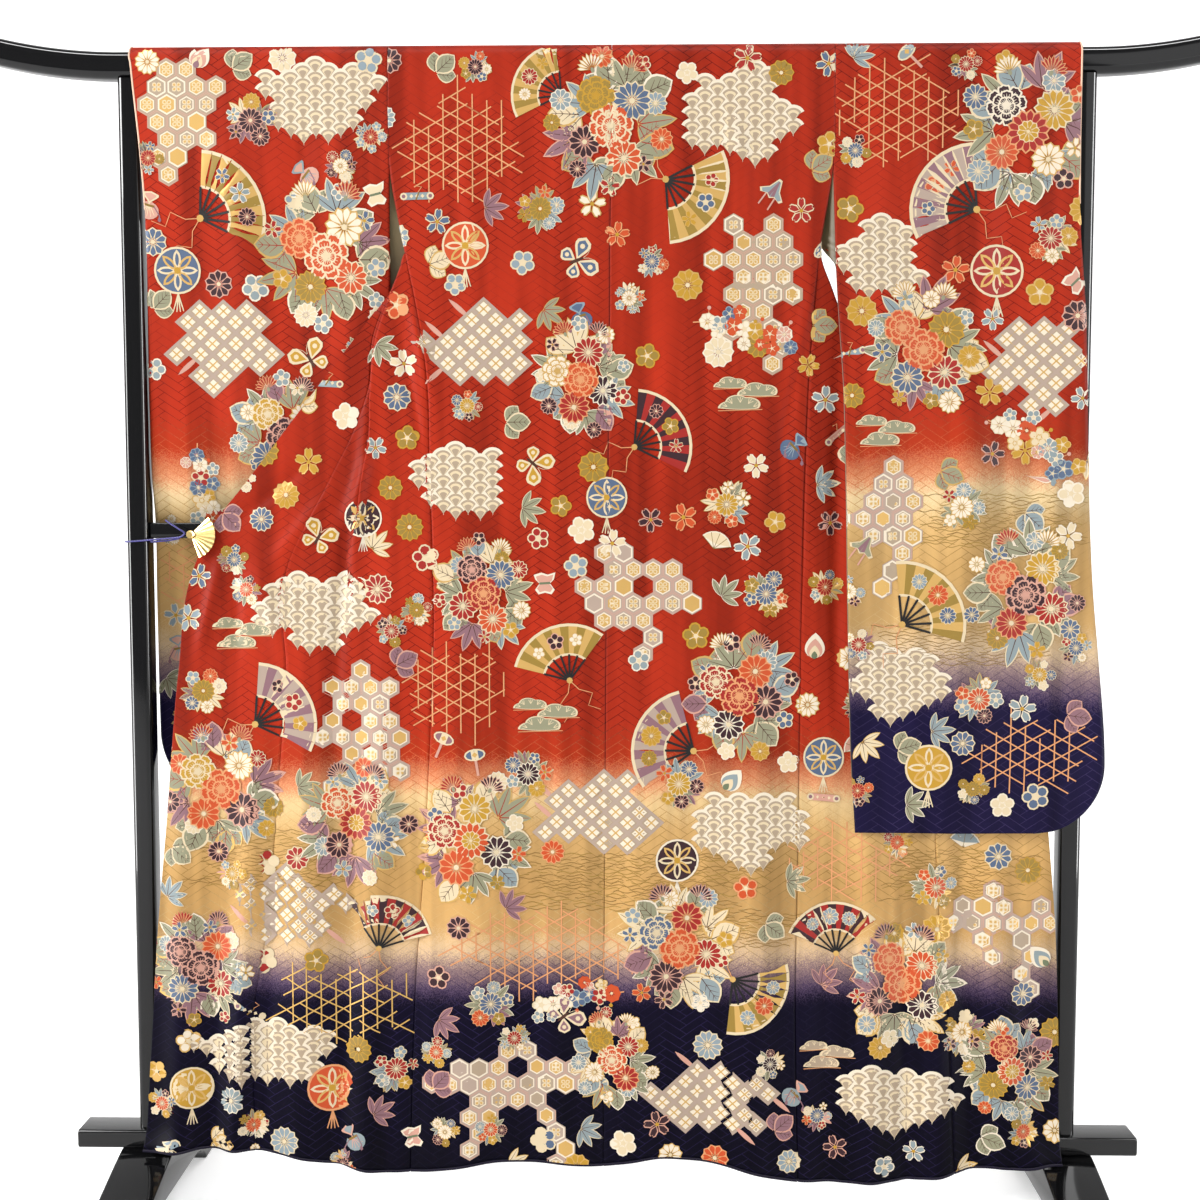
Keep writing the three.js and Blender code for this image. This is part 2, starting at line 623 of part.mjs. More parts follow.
// A foot: an arched beam from front to back, level under the lower rail.
function foot() {
  const half = FOOT_LONG / 2;
  const crown = LOW_RAIL_LOW - JOINT_GAP;
  const shape = new THREE.Shape();
  shape.moveTo(-half, 0);
  shape.lineTo(-half + FOOT_PAD, 0);
  shape.quadraticCurveTo(-half + FOOT_PAD + FOOT_ARCH_START, FOOT_ARCH, -half + FOOT_PAD + FOOT_SWEEP, FOOT_ARCH);
  shape.lineTo(half - FOOT_PAD - FOOT_SWEEP, FOOT_ARCH);
  shape.quadraticCurveTo(half - FOOT_PAD - FOOT_ARCH_START, FOOT_ARCH, half - FOOT_PAD, 0);
  shape.lineTo(half, 0);
  shape.lineTo(half, FOOT_TIP);
  shape.bezierCurveTo(half - FOOT_SWEEP, FOOT_TIP + 6, FOOT_LEVEL + FOOT_SWEEP, crown - 14, FOOT_LEVEL, crown);
  shape.lineTo(-FOOT_LEVEL, crown);
  shape.bezierCurveTo(-FOOT_LEVEL - FOOT_SWEEP, crown - 14, -half + FOOT_SWEEP, FOOT_TIP + 6, -half, FOOT_TIP);
  shape.closePath();
  const geometry = new THREE.ExtrudeGeometry(shape, { depth: FOOT_WIDE, bevelEnabled: false, curveSegments: 8 });
  geometry.rotateX(Math.PI / 2);
  geometry.rotateZ(Math.PI / 2);
  geometry.translate(-FOOT_WIDE / 2, 0, 0);
  return geometry;
}

// ---------------------------------------------------------------- fan clips and their cords

const CLIP_X = 606;
const CLIP_Z = 1016;
const FAN_RADIUS = 36;
const FAN_RIBS = 9;
const FAN_SPREAD = 114;
const FAN_TURN = -14;
const FAN_PLATE = 1.6;
const FAN_PLEAT = 1.6;
const FAN_DEPTH = -24;
const JAW_DEPTH = -12.6;
const CORD_DIAMETER = 2.5;
const CORD_SIDES = 8;
const CORD_STEPS = 40;

// The folding-fan plate: a pleated sector that opens towards the cloth it grips.
function clipFan(side) {
  const grid = [];
  for (const radius of [7.5, 22, FAN_RADIUS]) {
    const row = [];
    for (let i = 0; i <= FAN_RIBS * 2; i += 1) {
      const a = (FAN_TURN - FAN_SPREAD / 2 + FAN_SPREAD * i / (FAN_RIBS * 2)) * Math.PI / 180;
      const ridge = (i % 2 === 0 ? 0 : -FAN_PLEAT) * radius / FAN_RADIUS;
      row.push(new THREE.Vector3(-side * radius * Math.cos(a), ridge, radius * Math.sin(a)));
    }
    grid.push(row);
  }
  return sheet(grid, FAN_PLATE);
}

// The clip's rear jaw, a short tongue behind the cloth.
function clipJaw(side) {
  const outline = side < 0 ? bevelled(7, -7, 34, 5, 2) : bevelled(-34, -7, -7, 5, 2);
  const geometry = new THREE.ExtrudeGeometry(outline, { depth: FAN_PLATE, bevelEnabled: false });
  geometry.rotateX(Math.PI / 2);
  return geometry;
}

// The pivot pin through fan and jaw, a round head at its front end.
function clipPivot() {
  const profile = [[0, -5], [4, -5], [6, -3], [6, 10], [0, 10]];
  return new THREE.LatheGeometry(profile.map(([radius, y]) => new THREE.Vector2(radius, y)), 16);
}

// The cord's way on the left: its short tail, the knot, round the post and back to the knot.
const CORD_ROUTE = [
  { x: -643, y: -24.5, z: 1037 },
  { x: -634, y: -25, z: 1031 },
  { x: -623, y: -25.5, z: 1024 },
  { x: -615, y: -25, z: 1018 },
  { x: -620, y: -23.8, z: 1013 },
  { x: -636, y: -22, z: 1010.5 },
  { x: -660, y: -21, z: 1008.5 },
  { x: -682, y: -20.8, z: 1006.5 },
  { x: -698, y: -20.8, z: 1005.5 },
  { x: -705.2, y: -15.8, z: 1005 },
  { x: -706.8, y: -6, z: 1004.6 },
  { x: -706.8, y: 6, z: 1004.3 },
  { x: -705.2, y: 15.8, z: 1004 },
  { x: -698, y: 20.8, z: 1003.8 },
  { x: -680, y: 20.8, z: 1003.6 },
  { x: -671, y: 16.6, z: 1003.6 },
  { x: -669.4, y: 6, z: 1004 },
  { x: -669.3, y: -6, z: 1004.6 },
  { x: -667, y: -15, z: 1005 },
  { x: -658, y: -18.6, z: 1005.6 },
  { x: -640, y: -19.2, z: 1007 },
  { x: -624, y: -19.6, z: 1010 },
];

function tieCord(side) {
  const route = CORD_ROUTE.map((p) => new THREE.Vector3(-side * p.x, p.y, p.z));
  const curve = new THREE.CatmullRomCurve3(route, false, 'centripetal');
  const corners = [];
  for (let i = 0; i < CORD_SIDES; i += 1) {
    const a = i * 2 * Math.PI / CORD_SIDES;
    corners.push(new THREE.Vector2(CORD_DIAMETER / 2 * Math.cos(a), CORD_DIAMETER / 2 * Math.sin(a)));
  }
  const section = new THREE.Shape(corners);
  return new THREE.ExtrudeGeometry(section, { steps: CORD_STEPS, extrudePath: curve, bevelEnabled: false });
}

// ---------------------------------------------------------------- materials

const finish = (color, roughness, metalness = 0) => new THREE.MeshStandardMaterial({ color, roughness, metalness });
const lacquer = finish(0x0b0b0c, 0.18);
const silk = finish(0xc8381f, 0.55);
const sleeveSilk = finish(0xcc3b22, 0.55);
const lining = finish(0xb9a77c, 0.7);
const gilt = finish(0xc9a24a, 0.3, 1);
const cordSilk = finish(0x2a2450, 0.8);

// ---------------------------------------------------------------- the scene graph

const kimonoOnStand = new THREE.Group();

function add(name, geometry, material, x = 0, y = 0, z = 0) {
  const mesh = new THREE.Mesh(geometry, material);
  mesh.name = name;
  mesh.position.set(x, y, z);
  kimonoOnStand.add(mesh);
}

add('top_rail', topRail(), lacquer);
add('mid_rail', levelRail(POST_CENTRE - POST_WIDE / 2 - JOINT_GAP, MID_RAIL_DEEP, MID_RAIL_LOW,
  MID_RAIL_LOW + MID_RAIL_TALL, 3), lacquer);
add('lower_rail', levelRail(LOW_RAIL_HALF, LOW_RAIL_DEEP, LOW_RAIL_LOW, LOW_RAIL_TOP, 4), lacquer);
for (const [word, side] of [['left', -1], ['right', 1]]) {
  add(`post_${word}`, post(), lacquer, side * POST_CENTRE);
  add(`foot_${word}`, foot(), lacquer, side * POST_CENTRE);
  add(`back_${word}`, backPanel(side), silk);
  add(`front_${word}`, frontPanel(side), silk);
  add(`overlap_${word}`, overlapPanel(side), silk);
  add(`collar_${word}`, collarFront(side), lining);
  add(`sleeve_${word}_outer`, sleeveWall(side, true), sleeveSilk);
  add(`sleeve_${word}_inner`, sleeveWall(side, false), sleeveSilk);
}
add('collar_neck', collarBack(), lining);
for (const [word, side] of [['left', -1], ['right', 1]]) {
  add(`clip_fan_${word}`, clipFan(side), gilt, side * CLIP_X, FAN_DEPTH, CLIP_Z);
  add(`clip_jaw_${word}`, clipJaw(side), gilt, side * CLIP_X, JAW_DEPTH, CLIP_Z);
  add(`clip_pivot_${word}`, clipPivot(), gilt, side * CLIP_X, FAN_DEPTH, CLIP_Z);
  add(`clip_cord_${word}`, tieCord(side), cordSilk);
}

export default kimonoOnStand;
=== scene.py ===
import math
import random

import bmesh
import bpy
import numpy as np
from bpy.props import FloatProperty, FloatVectorProperty, PointerProperty
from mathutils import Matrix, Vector
from mathutils.bvhtree import BVHTree


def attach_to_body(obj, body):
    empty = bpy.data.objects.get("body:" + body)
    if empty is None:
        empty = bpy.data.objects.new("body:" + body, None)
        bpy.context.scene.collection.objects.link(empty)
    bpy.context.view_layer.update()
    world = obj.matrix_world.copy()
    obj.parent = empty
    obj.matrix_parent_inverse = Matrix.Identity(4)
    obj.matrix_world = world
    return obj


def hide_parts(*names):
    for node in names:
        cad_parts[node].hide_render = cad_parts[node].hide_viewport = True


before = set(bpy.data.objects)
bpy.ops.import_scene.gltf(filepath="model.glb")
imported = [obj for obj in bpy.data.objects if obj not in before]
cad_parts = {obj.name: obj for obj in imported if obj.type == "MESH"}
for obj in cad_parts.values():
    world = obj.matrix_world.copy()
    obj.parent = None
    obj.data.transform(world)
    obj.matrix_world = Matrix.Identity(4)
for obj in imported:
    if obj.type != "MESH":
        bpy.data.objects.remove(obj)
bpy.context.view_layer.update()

bl_info = {
    "name": "Furisode on a Kimono Stand",
    "version": (1, 0, 0),
    "blender": (4, 5, 0),
    "location": "View3D > Sidebar > Kimono",
    "description": "Dresses a long-sleeved kimono and the lacquered stand it hangs on",
    "category": "Add Mesh",
}

MM = 0.001

# ------------------------------------------------------------------ sizes, in millimetres

RAIL_TOP = 1713.0
RAIL_TALL = 39.0
RAIL_DEEP = 36.0
RAIL_ROUND = 12.0
RAIL_HALF = 920.0
RAIL_FLAT_HALF = 700.0
RAIL_END_RISE = 32.0
RAIL_LEVEL = RAIL_TOP - RAIL_ROUND
POST_CENTRE = 688.0
POST_RINGS = (117.9, 900.0, 1673.7)
SEAM_GAP = 0.5
INNER_LAYER = 3.3
OUTER_LAYER = 5.4
SHOULDER_S = -10.0
NECK_HALF = 95.0
NECK_CUT = 20.0
COLLAR_WIDE = 55.0
SEAM_ROLL = 1.8
SEAM_TUCK = 2.2
SEAM_UNDER = 2.0
FRONT_WIDTH = 235.0
PLEAT_STEP = 4.4
SLEEVE_CORNER = 100.0
CUFF_LONG = 230.0
BAG_DEPTH = 12.0
FOOT_PUSH = 26.0
SLIT_SHIELD = 30.0
SHIELD_LOW = {-1: 1330, 1: 1396}
SHIELD_BEHIND = 12.5
FOLD_GAIN = 1.3
CREASE_GAIN = 3.2
TUCK_STEP = 1.3
SLIT = {-1: 1414.0, 1: 1430.0}
TUCK_HEIGHT = 1377.0


def table(names, rows):
    """Named columns from rows of sections."""
    columns = np.array(rows, float).T
    return dict(zip(names.split(), columns))


BACK = table("height left middle right", [
    (40, -291, -1, 289), (353, -280, 0, 283), (525, -267, 1, 285), (697, -257, 2, 286),
    (866, -250, 3, 287), (1125, -254, 6, 291), (1257, -258, 7, 296), (1340, -271, 8, 302),
    (1425, -288, 8, 310), (1543, -309, 10, 328), (1720, -310, 11, 329)])
WING = table("height ridge overlap edge right_overlap right_edge", [
    (40, 405, 524, 692, 523, 677), (347, 400, 518, 670, 504, 669), (427, 385, 503, 664, 495, 665),
    (606, 370, 486, 646, 484, 649), (820, 365, 469, 626, 470, 628), (969, 382, 466, 603, 466, 604),
    (1030, 364, 434, 574, 436, 574), (1095, 353, 402, 523, 408, 526), (1166, 342, 366, 468, 378, 473),
    (1227, 340, 344, 421, 358, 428), (1300, 332, 338, 364, 352, 374), (1370, 308, 308, 310, 318, 321),
    (1414, 292, 276, 276, 289, 289), (1500, 305, 209, 209, 225, 225), (1600, 309, 131, 131, 151, 151),
    (1660, 309, 84, 84, 106, 106), (1720, 309, 84, 84, 106, 106)])
LEFT_SLEEVE = table("height inner outer depth", [
    (615, 318, 670, 19), (760, 317, 672, 19), (920, 316, 672, 18), (1045, 315, 671, 14.5),
    (1090, 315, 670, 3), (1200, 314, 670, -3.5), (1310, 313, 669, -6), (1400, 312, 667, -8.5),
    (1470, 311, 665, -15.5), (1543, 309, 667, -23.8), (1674, 310, 679, -23.4), (1720, 310, 683, -23.4)])
RIGHT_SLEEVE = table("height inner outer depth", [
    (582, 367, 727, -46), (697, 359, 725, -54), (840, 354, 712, -54), (920, 352, 704, -52),
    (1125, 347, 692, -50), (1235, 343, 689, -47), (1330, 336, 686, -42), (1400, 332, 682, -36),
    (1470, 330, 678, -29), (1543, 328, 678, -24), (1674, 329, 678, -23.4), (1720, 329, 678, -23.4)])
HEM = table("across height", [
    (-700, 97), (-520, 93), (-290, 62), (-160, 79), (0, 75), (80, 87), (165, 79), (290, 53),
    (340, 52), (485, 61), (560, 76), (620, 80), (660, 88), (700, 88)])
# Soft folds of the skirt: where each one lies at the hem, where it dies out, how high it reaches,
# its half width and how far it stands forward.
SKIRT_FOLDS = table("low high top wide deep", [
    (-640, -610, 900, 24, 8), (-590, -560, 780, 12, -3), (-560, -505, 860, 17, 9), (-520, -470, 820, 14, -3),
    (-455, -420, 940, 30, 7), (-400, -350, 1000, 14, -3.5), (-360, -300, 1150, 24, 8),
                                               (-290, -255, 1100, 16, -3),
    (-215, -180, 1050, 40, 6), (-100, -95, 860, 30, -3), (48, 56, 1100, 32, 5), (150, 132, 900, 26, -3),
    (225, 210, 1100, 36, 6.5), (335, 312, 1000, 20, -3.5), (400, 380, 1000, 24, 7), (452, 430, 900, 12, -3.5),
    (500, 470, 900, 22, 8), (548, 520, 760, 14, -3.5), (606, 566, 820, 26, 8)])
# Slack creases that run out from the side seams: start, end, half width and depth.
SLACK_CREASES = table("x0 z0 x1 z1 wide deep", [
    (-288, 1385, -240, 1180, 9, 1.6), (-300, 1330, -262, 1120, 7, -1.4), (-330, 1150, -392, 1010, 12, 2.2),
    (-420, 1130, -560, 1020, 10, -1.6), (-390, 1090, -500, 960, 12, 1.8), (-560, 1000, -600, 820, 9, 2.2),
    (-545, 1010, -540, 800, 11, -1.8), (-520, 1005, -470, 820, 14, 1.6), (305, 1400, 262, 1200, 9, 1.6),
    (290, 1330, 250, 1090, 8, -1.2), (-215, 1640, -180, 1400, 12, 0.9), (180, 1650, 215, 1420, 12, 0.9),
    (-60, 1640, -48, 1400, 14, 0.7), (95, 1600, 84, 1390, 14, -0.7), (-560, 1640, -500, 1300, 22, 1.2),
    (-420, 1660, -455, 1420, 18, -1.2), (430, 1660, 470, 1320, 20, 1.2), (590, 1650, 560, 1260, 22, -1.4),
    (520, 1250, 545, 900, 26, 1.4), (400, 1180, 420, 780, 20, -1.2), (640, 1180, 655, 800, 18, 1.3),
    (333, 1330, 342, 640, 12, -1.9), (-372, 1100, -408, 640, 13, -1.8), (-336, 1290, -372, 900, 10, 1.7)])


def smooth(t):
    c = np.clip(t, 0.0, 1.0)
    return c * c * (3.0 - 2.0 * c)


def mix(a, b, t):
    return a + (b - a) * t


def read(columns, name, at):
    """A named column at any height, on a smooth curve through its rows."""
    keys = list(columns)
    xs, ys = columns[keys[0]], columns[name]
    slope = np.gradient(ys, xs)
    at = np.clip(at, xs[0], xs[-1])
    i = np.clip(np.searchsorted(xs, at) - 1, 0, len(xs) - 2)
    step = xs[i + 1] - xs[i]
    t = (at - xs[i]) / step
    rise = ys[i] * (1 + 2 * t) * (1 - t) ** 2 + ys[i + 1] * t * t * (3 - 2 * t)
    return rise + step * (slope[i] * t * (1 - t) ** 2 - slope[i + 1] * t * t * (1 - t))


def hem_height(x):
    return read(HEM, "height", x)


def back_depth(z):
    fall = np.maximum(0.0, RAIL_TOP - RAIL_TALL - z) / (RAIL_TOP - RAIL_TALL)
    return -(RAIL_DEEP / 2 + OUTER_LAYER) - 10.6 * fall ** 1.2


def wing_depth(z):
    return back_depth(z) + 2 * PLEAT_STEP * smooth((z - 860) / 130)


def skirt_fold(x, z):
    move = -FOOT_PUSH * smooth((135 - z) / 70) * smooth((np.abs(x) - 600) / 45)
    for low, high, top, wide, deep in zip(*SKIRT_FOLDS.values()):
        rise = z / top
        off = (x - mix(low, high, rise)) / wide
        move = move - FOLD_GAIN * deep * np.exp(-off * off) * smooth((1 - rise) * 1.6)
    return move


def creases(x, z, share=1.0):
    """Small slack creases and the faint unevenness of hanging silk."""
    move = 0.35 * np.sin(x / 31 + z / 190) * np.sin(z / 83 + 1.3) + 0.2 * np.sin(x / 13 + z / 57)
    for x0, z0, x1, z1, wide, deep in zip(*SLACK_CREASES.values()):
        dx, dz = x1 - x0, z1 - z0
        t = ((x - x0) * dx + (z - z0) * dz) / (dx * dx + dz * dz)
        off = ((x - x0) * dz - (z - z0) * dx) / math.hypot(dx, dz) / wide
        move = move - CREASE_GAIN * deep * np.exp(-off * off) * smooth(t * 3) * smooth((1 - t) * 3)
    return move * share


def over_rail(layer, s):
    """Depth and height of a wall over the top rail, s from the far side's upper rounding."""
    radius = RAIL_ROUND + layer
    shelf = RAIL_DEEP / 2 - RAIL_ROUND
    arc = radius * math.pi / 2
    rear = np.clip(s / radius, 0, math.pi / 2)
    front = np.clip((s - arc - 2 * shelf) / radius, 0, math.pi / 2)
    flat = np.clip(s - arc, 0, 2 * shelf)
    past = np.maximum(0, s - 2 * arc - 2 * shelf)
    y = np.where(s <= arc, shelf + radius * np.cos(rear), shelf - flat - radius * np.sin(front))
    z = RAIL_LEVEL + np.where(s <= arc, radius * np.sin(rear), radius * np.cos(front)) + np.minimum(0,
                                                                                                    s) - past
    return y, z


def rail_length(layer):
    return (RAIL_ROUND + layer) * math.pi + RAIL_DEEP - 2 * RAIL_ROUND


def spread(columns, width):
    """Even shares of a width, with closer ones by both edges for the turned seam."""
    edge = np.array([0.0, 1.2, 3.2]) / width
    inside = np.linspace(6.5 / width, 1 - 6.5 / width, columns)
    return np.concatenate([edge, inside, 1 - edge[::-1]])


def turn_seams(grid, first_row, near=True, far=True, tuck=0):
    """Rolls a panel's sewn edges back, so that each seam lies in a small groove, and tucks one under."""
    if near:
        grid[first_row:, 0, 1] += SEAM_ROLL
    if tuck:
        grid[first_row:, 0, 0] -= tuck * SEAM_TUCK
        grid[first_row:, 0, 1] += SEAM_UNDER
    if far:
        grid[first_row:, -1, 1] += SEAM_ROLL
    return grid


# ------------------------------------------------------------------ cloth surfaces


def back_grid(side, columns=50, rail_rows=22, rows=165):
    """One half of the back, from the neck on the rail's far side down to the hem."""
    outer = "left" if side < 0 else "right"
    t = spread(columns, 300.0)
    grid = []
    top = read(BACK, "middle", RAIL_TOP) + side * SEAM_GAP / 2
    far = read(BACK, outer, RAIL_TOP) - side * SEAM_GAP / 2
    x = mix(top, far, t)
    across = np.minimum(1, np.abs(x - read(BACK, "middle", RAIL_TOP)) / NECK_HALF)
    neck = NECK_CUT * np.sqrt(np.maximum(0, 1 - across * across))
    end = rail_length(OUTER_LAYER)
    for share in np.linspace(0, 1, rail_rows):
        y, z = over_rail(OUTER_LAYER, mix(SHOULDER_S + neck, end, share))
        grid.append(np.stack([x, y, z], -1))
    level = RAIL_LEVEL
    for share in np.linspace(0, 1, rows)[1:]:
        low = hem_height(mix(read(BACK, "middle", 80.0), read(BACK, outer, 80.0), t))
        z = mix(level, low, share)
        x = mix(read(BACK, "middle", z) + side * SEAM_GAP / 2, read(BACK, outer, z) - side * SEAM_GAP / 2, t)
        y = back_depth(z) + skirt_fold(x, z) + creases(x, z) * smooth((1660 - z) / 80)
        y = y - TUCK_STEP * smooth((z - TUCK_HEIGHT) / 2.5) * smooth((TUCK_HEIGHT + 60 - z) / 50)
        grid.append(np.stack([x, y, z], -1))
    return turn_seams(np.array(grid), rail_rows)


def wing_line(side, z):
    right = side > 0
    return (np.abs(read(BACK, "right" if right else "left", z)),
            read(WING, "ridge", z) + (20 if right else 0),
            read(WING, "right_overlap" if right else "overlap", z),
            read(WING, "right_edge" if right else "edge", z))


RUNS = (19, 10, 28)
TURNS = np.radians(np.linspace(0, 180, 8)[1:-1])


def front_section(side, z, above):
    """Points across a front panel's pleat at one height, from the side seam to its other edge."""
    seam, ridge, overlap, _ = (float(v) for v in wing_line(side, z))
    slit = SLIT[side]
    base = float(back_depth(z)) + 2.6 * min(1, max(0, (z - slit) / 9))
    around = PLEAT_STEP / 2
    start = seam + SEAM_GAP / 2
    hidden = seam + overlap if above else 2 * ridge - seam + overlap
    turn_in = (hidden - FRONT_WIDTH) / 2 + around
    ridge -= around
    xs, ys = [], []

    def run(first, last, count, y):
        xs.extend(np.linspace(first, last, count + 1))
        ys.extend([y] * (count + 1))

    if above:
        run(start, turn_in, RUNS[0] + RUNS[1] + len(TURNS) + 1, base + 2 * around)
    else:
        run(start, ridge, RUNS[0], base)
        xs.extend(ridge + around * np.sin(TURNS))
        ys.extend(base + around * (1 - np.cos(TURNS)))
        run(ridge, turn_in, RUNS[1], base + 2 * around)
    xs.extend(turn_in - around * np.sin(TURNS))
    ys.extend(base + around * (3 - np.cos(TURNS)))
    run(turn_in, overlap - SEAM_GAP / 2, RUNS[2], base + 4 * around)
    return np.array(xs), np.array(ys)


def front_grid(side, rail_rows=16, rows=200):
    """One front panel, from the shoulder fold over the rail, behind the back and out to the side."""
    count = sum(RUNS) + 2 * len(TURNS) + 3
    t = np.linspace(0, 1, count)
    grid = []
    seam, _, overlap, _ = wing_line(side, RAIL_TOP)
    end = rail_length(INNER_LAYER)
    for share in np.linspace(0, 1, rail_rows):
        y, z = over_rail(INNER_LAYER, np.full(count, mix(SHOULDER_S, end, share)))
        grid.append(np.stack([side * mix(seam - SEAM_GAP / 2, overlap + SEAM_GAP / 2, t), y, z], -1))
    slit = SLIT[side]
    low = hem_height(side * mix(*(wing_line(side, 80.0)[k] for k in (0, 2)), t))
    for level in np.linspace(RAIL_LEVEL, 0, rows)[1:]:
        z = mix(low, RAIL_LEVEL, level / RAIL_LEVEL)
        mid = float(z.mean())
        around = max(mid, 60.0)
        blend = min(1.0, max(0.0, (mid - slit - 9) / 16))
        fx, fy = front_section(side, around, False)
        if blend > 0:
            kx, ky = front_section(side, around, True)
            fx, fy = mix(fx, kx, blend), mix(fy, ky, blend)
        seam, _, overlap, _ = wing_line(side, z)
        if mid > 1500:
            flat = smooth((mid - 1560) / 90)
            x = mix(fx, mix(seam - SEAM_GAP / 2, overlap + SEAM_GAP / 2, t), flat)
            y = mix(fy, back_depth(z) + OUTER_LAYER - INNER_LAYER, smooth(flat * 2 - 1))
            grid.append(np.stack([side * x, y, z], -1))
            continue
        opened = smooth((990 - mid) / 90)
        reach = mix(seam + SEAM_GAP / 2, overlap - SEAM_GAP / 2, t)
        x = mix(fx, reach, opened)
        rest = mix(back_depth(z), wing_depth(z), smooth(t * 3))
        y = mix(fy, rest, smooth(opened * 2 - 1)) + skirt_fold(side * x, z)
        y = y + creases(side * x, z) * smooth((1380 - mid) / 60)
        grid.append(np.stack([side * x, y, z], -1))
    return turn_seams(np.array(grid), rail_rows, tuck=side)


def overlap_grid(side, columns=26, rows=150):
    """The strip sewn to a front's free edge, ending in a point under the collar."""
    t = spread(columns, 150.0)
    _, _, first, last = wing_line(side, 80.0)
    low = hem_height(side * mix(first, last, t))
    grid = []
    for share in np.linspace(0, 1, rows):
        z = mix(1340.0, low, share)
        _, _, near, edge = wing_line(side, z)
        near = near + SEAM_GAP / 2
        x = side * mix(near, np.maximum(edge, near + 6), t)
        y = wing_depth(z) + skirt_fold(x, z) + creases(x, z, 0.8)
        grid.append(np.stack([x, y, z], -1))
    return turn_seams(np.array(grid), 0, far=False, tuck=side)


def collar_neck_grid(columns=40, rows=12):
    across = np.linspace(-1, 1, columns)
    neck = NECK_CUT * np.sqrt(np.maximum(0, 1 - across * across))
    grid = []
    for share in np.linspace(0, 1, rows):
        y, z = over_rail(OUTER_LAYER + 0.6, SHOULDER_S + neck - 1.2 - COLLAR_WIDE * share)
        x = read(BACK, "middle", RAIL_TOP) + across * (NECK_HALF - 1)
        grid.append(np.stack([x, y, z], -1))
    return np.array(grid)


def collar_front_grid(side, columns=12, rail_rows=16, rows=90):
    t = np.linspace(0, 1, columns)
    grid = []
    edge = float(wing_line(side, RAIL_TOP)[3])
    end = rail_length(INNER_LAYER)
    for share in np.linspace(0, 1, rail_rows):
        y, z = over_rail(INNER_LAYER, np.full(columns, mix(SHOULDER_S, end, share)))
        grid.append(np.stack([side * (edge - 0.5 - (COLLAR_WIDE - 6) * t), y, z], -1))
    for z in np.linspace(RAIL_LEVEL, 1048, rows)[1:]:
        edge = float(wing_line(side, z)[3])
        slant = mix(COLLAR_WIDE - 6, COLLAR_WIDE * 1.27, smooth((1674 - z) / 60))
        behind = mix(OUTER_LAYER - INNER_LAYER, 2.6 + 2 * PLEAT_STEP + 2.3, smooth((1674 - z) / 70))
        x = side * (edge - 0.5 - slant * t)
        grid.append(np.stack([x, np.full(columns, float(back_depth(z)) + behind), np.full(columns, z)], -1))
    return np.array(grid)


def sleeve_grid(side, outer_wall, columns=50, rail_rows=20, rows=150):
    """One wall of a sleeve. The outer wall turns round the sewn edge below the cuff."""
    columns_of = LEFT_SLEEVE if side < 0 else RIGHT_SLEEVE
    bottom = columns_of["height"][0]
    layer = OUTER_LAYER if outer_wall else INNER_LAYER
    turns = np.radians(np.linspace(0, 120, 7)[1:]) if outer_wall else np.array([])
    t = spread(columns, 345.0)
    columns = len(t)
    grid = []
    near = float(read(columns_of, "inner", RAIL_TOP)) + SEAM_GAP / 2
    far = float(read(columns_of, "outer", RAIL_TOP))
    end = rail_length(layer)
    for share in np.linspace(0, 1, rail_rows):
        y, z = over_rail(layer, np.full(columns + len(turns), mix(SHOULDER_S, end, share)))
        x = side * np.concatenate([mix(near, far - 1.5, t),
                                   far - 1.5 + 1.5 * np.arange(1, len(turns) + 1) / 6])
        grid.append(np.stack([x, y, z], -1))
    for share in np.linspace(0, 1, rows)[1:]:
        z = RAIL_LEVEL - (RAIL_LEVEL - bottom) * (1 - (1 - share) ** 1.15)
        top = OUTER_LAYER - INNER_LAYER
        space = mix(top, BAG_DEPTH, smooth((1560 - z) / 300)) * mix(0.25, 1, smooth((z - bottom) / 90))
        rise = min(SLEEVE_CORNER, z - bottom)
        cut = SLEEVE_CORNER - math.sqrt(max(0, SLEEVE_CORNER ** 2 - (SLEEVE_CORNER - rise) ** 2))
        near = float(read(columns_of, "inner", z)) + SEAM_GAP / 2
        seam = near
        if not outer_wall:
            near -= SLIT_SHIELD * smooth((z - SHIELD_LOW[side]) / 60) * smooth((1590 - z) / 40)
        half = space / 2
        far = float(read(columns_of, "outer", z)) - cut - half
        depth = float(read(columns_of, "depth", z))
        wrap = smooth((RAIL_TOP - CUFF_LONG - z) / 40)
        x = mix(near, far if outer_wall else far - 2.5, t)
        y = np.full(columns, depth + (0 if outer_wall else space))
        if outer_wall:
            a = turns * wrap
            x = np.concatenate([x, far + half * np.sin(a) + half * (1 - wrap) * turns / math.radians(120)])
            y = np.concatenate([y, depth + half * (1 - np.cos(a))])
        inside = np.minimum(x, far)
        ease = smooth((1640 - z) / 300)
        inward = inside - near
        y = y + (2.2 * np.sin(inward / 58 + z / 260) + 1.1 * np.sin(inward / 23 - z / 330)) * ease
        y = y + creases(side * inside, z, 0.8) * smooth((1650 - z) / 90)
        y = np.where(x < seam - 1, mix(y, np.maximum(y, back_depth(z) + SHIELD_BEHIND),
                                       smooth((seam - x) / 12)), y)
        grid.append(np.stack([side * x, y, np.full(len(x), z)], -1))
    return turn_seams(np.array(grid), rail_rows, near=outer_wall, far=False)


# ------------------------------------------------------------------ meshes


def new_object(name, mesh, materials):
    piece = bpy.data.objects.new(name, mesh)
    bpy.context.scene.collection.objects.link(piece)
    for material in materials:
        mesh.materials.append(material)
    return piece


OUTSIDES = {}


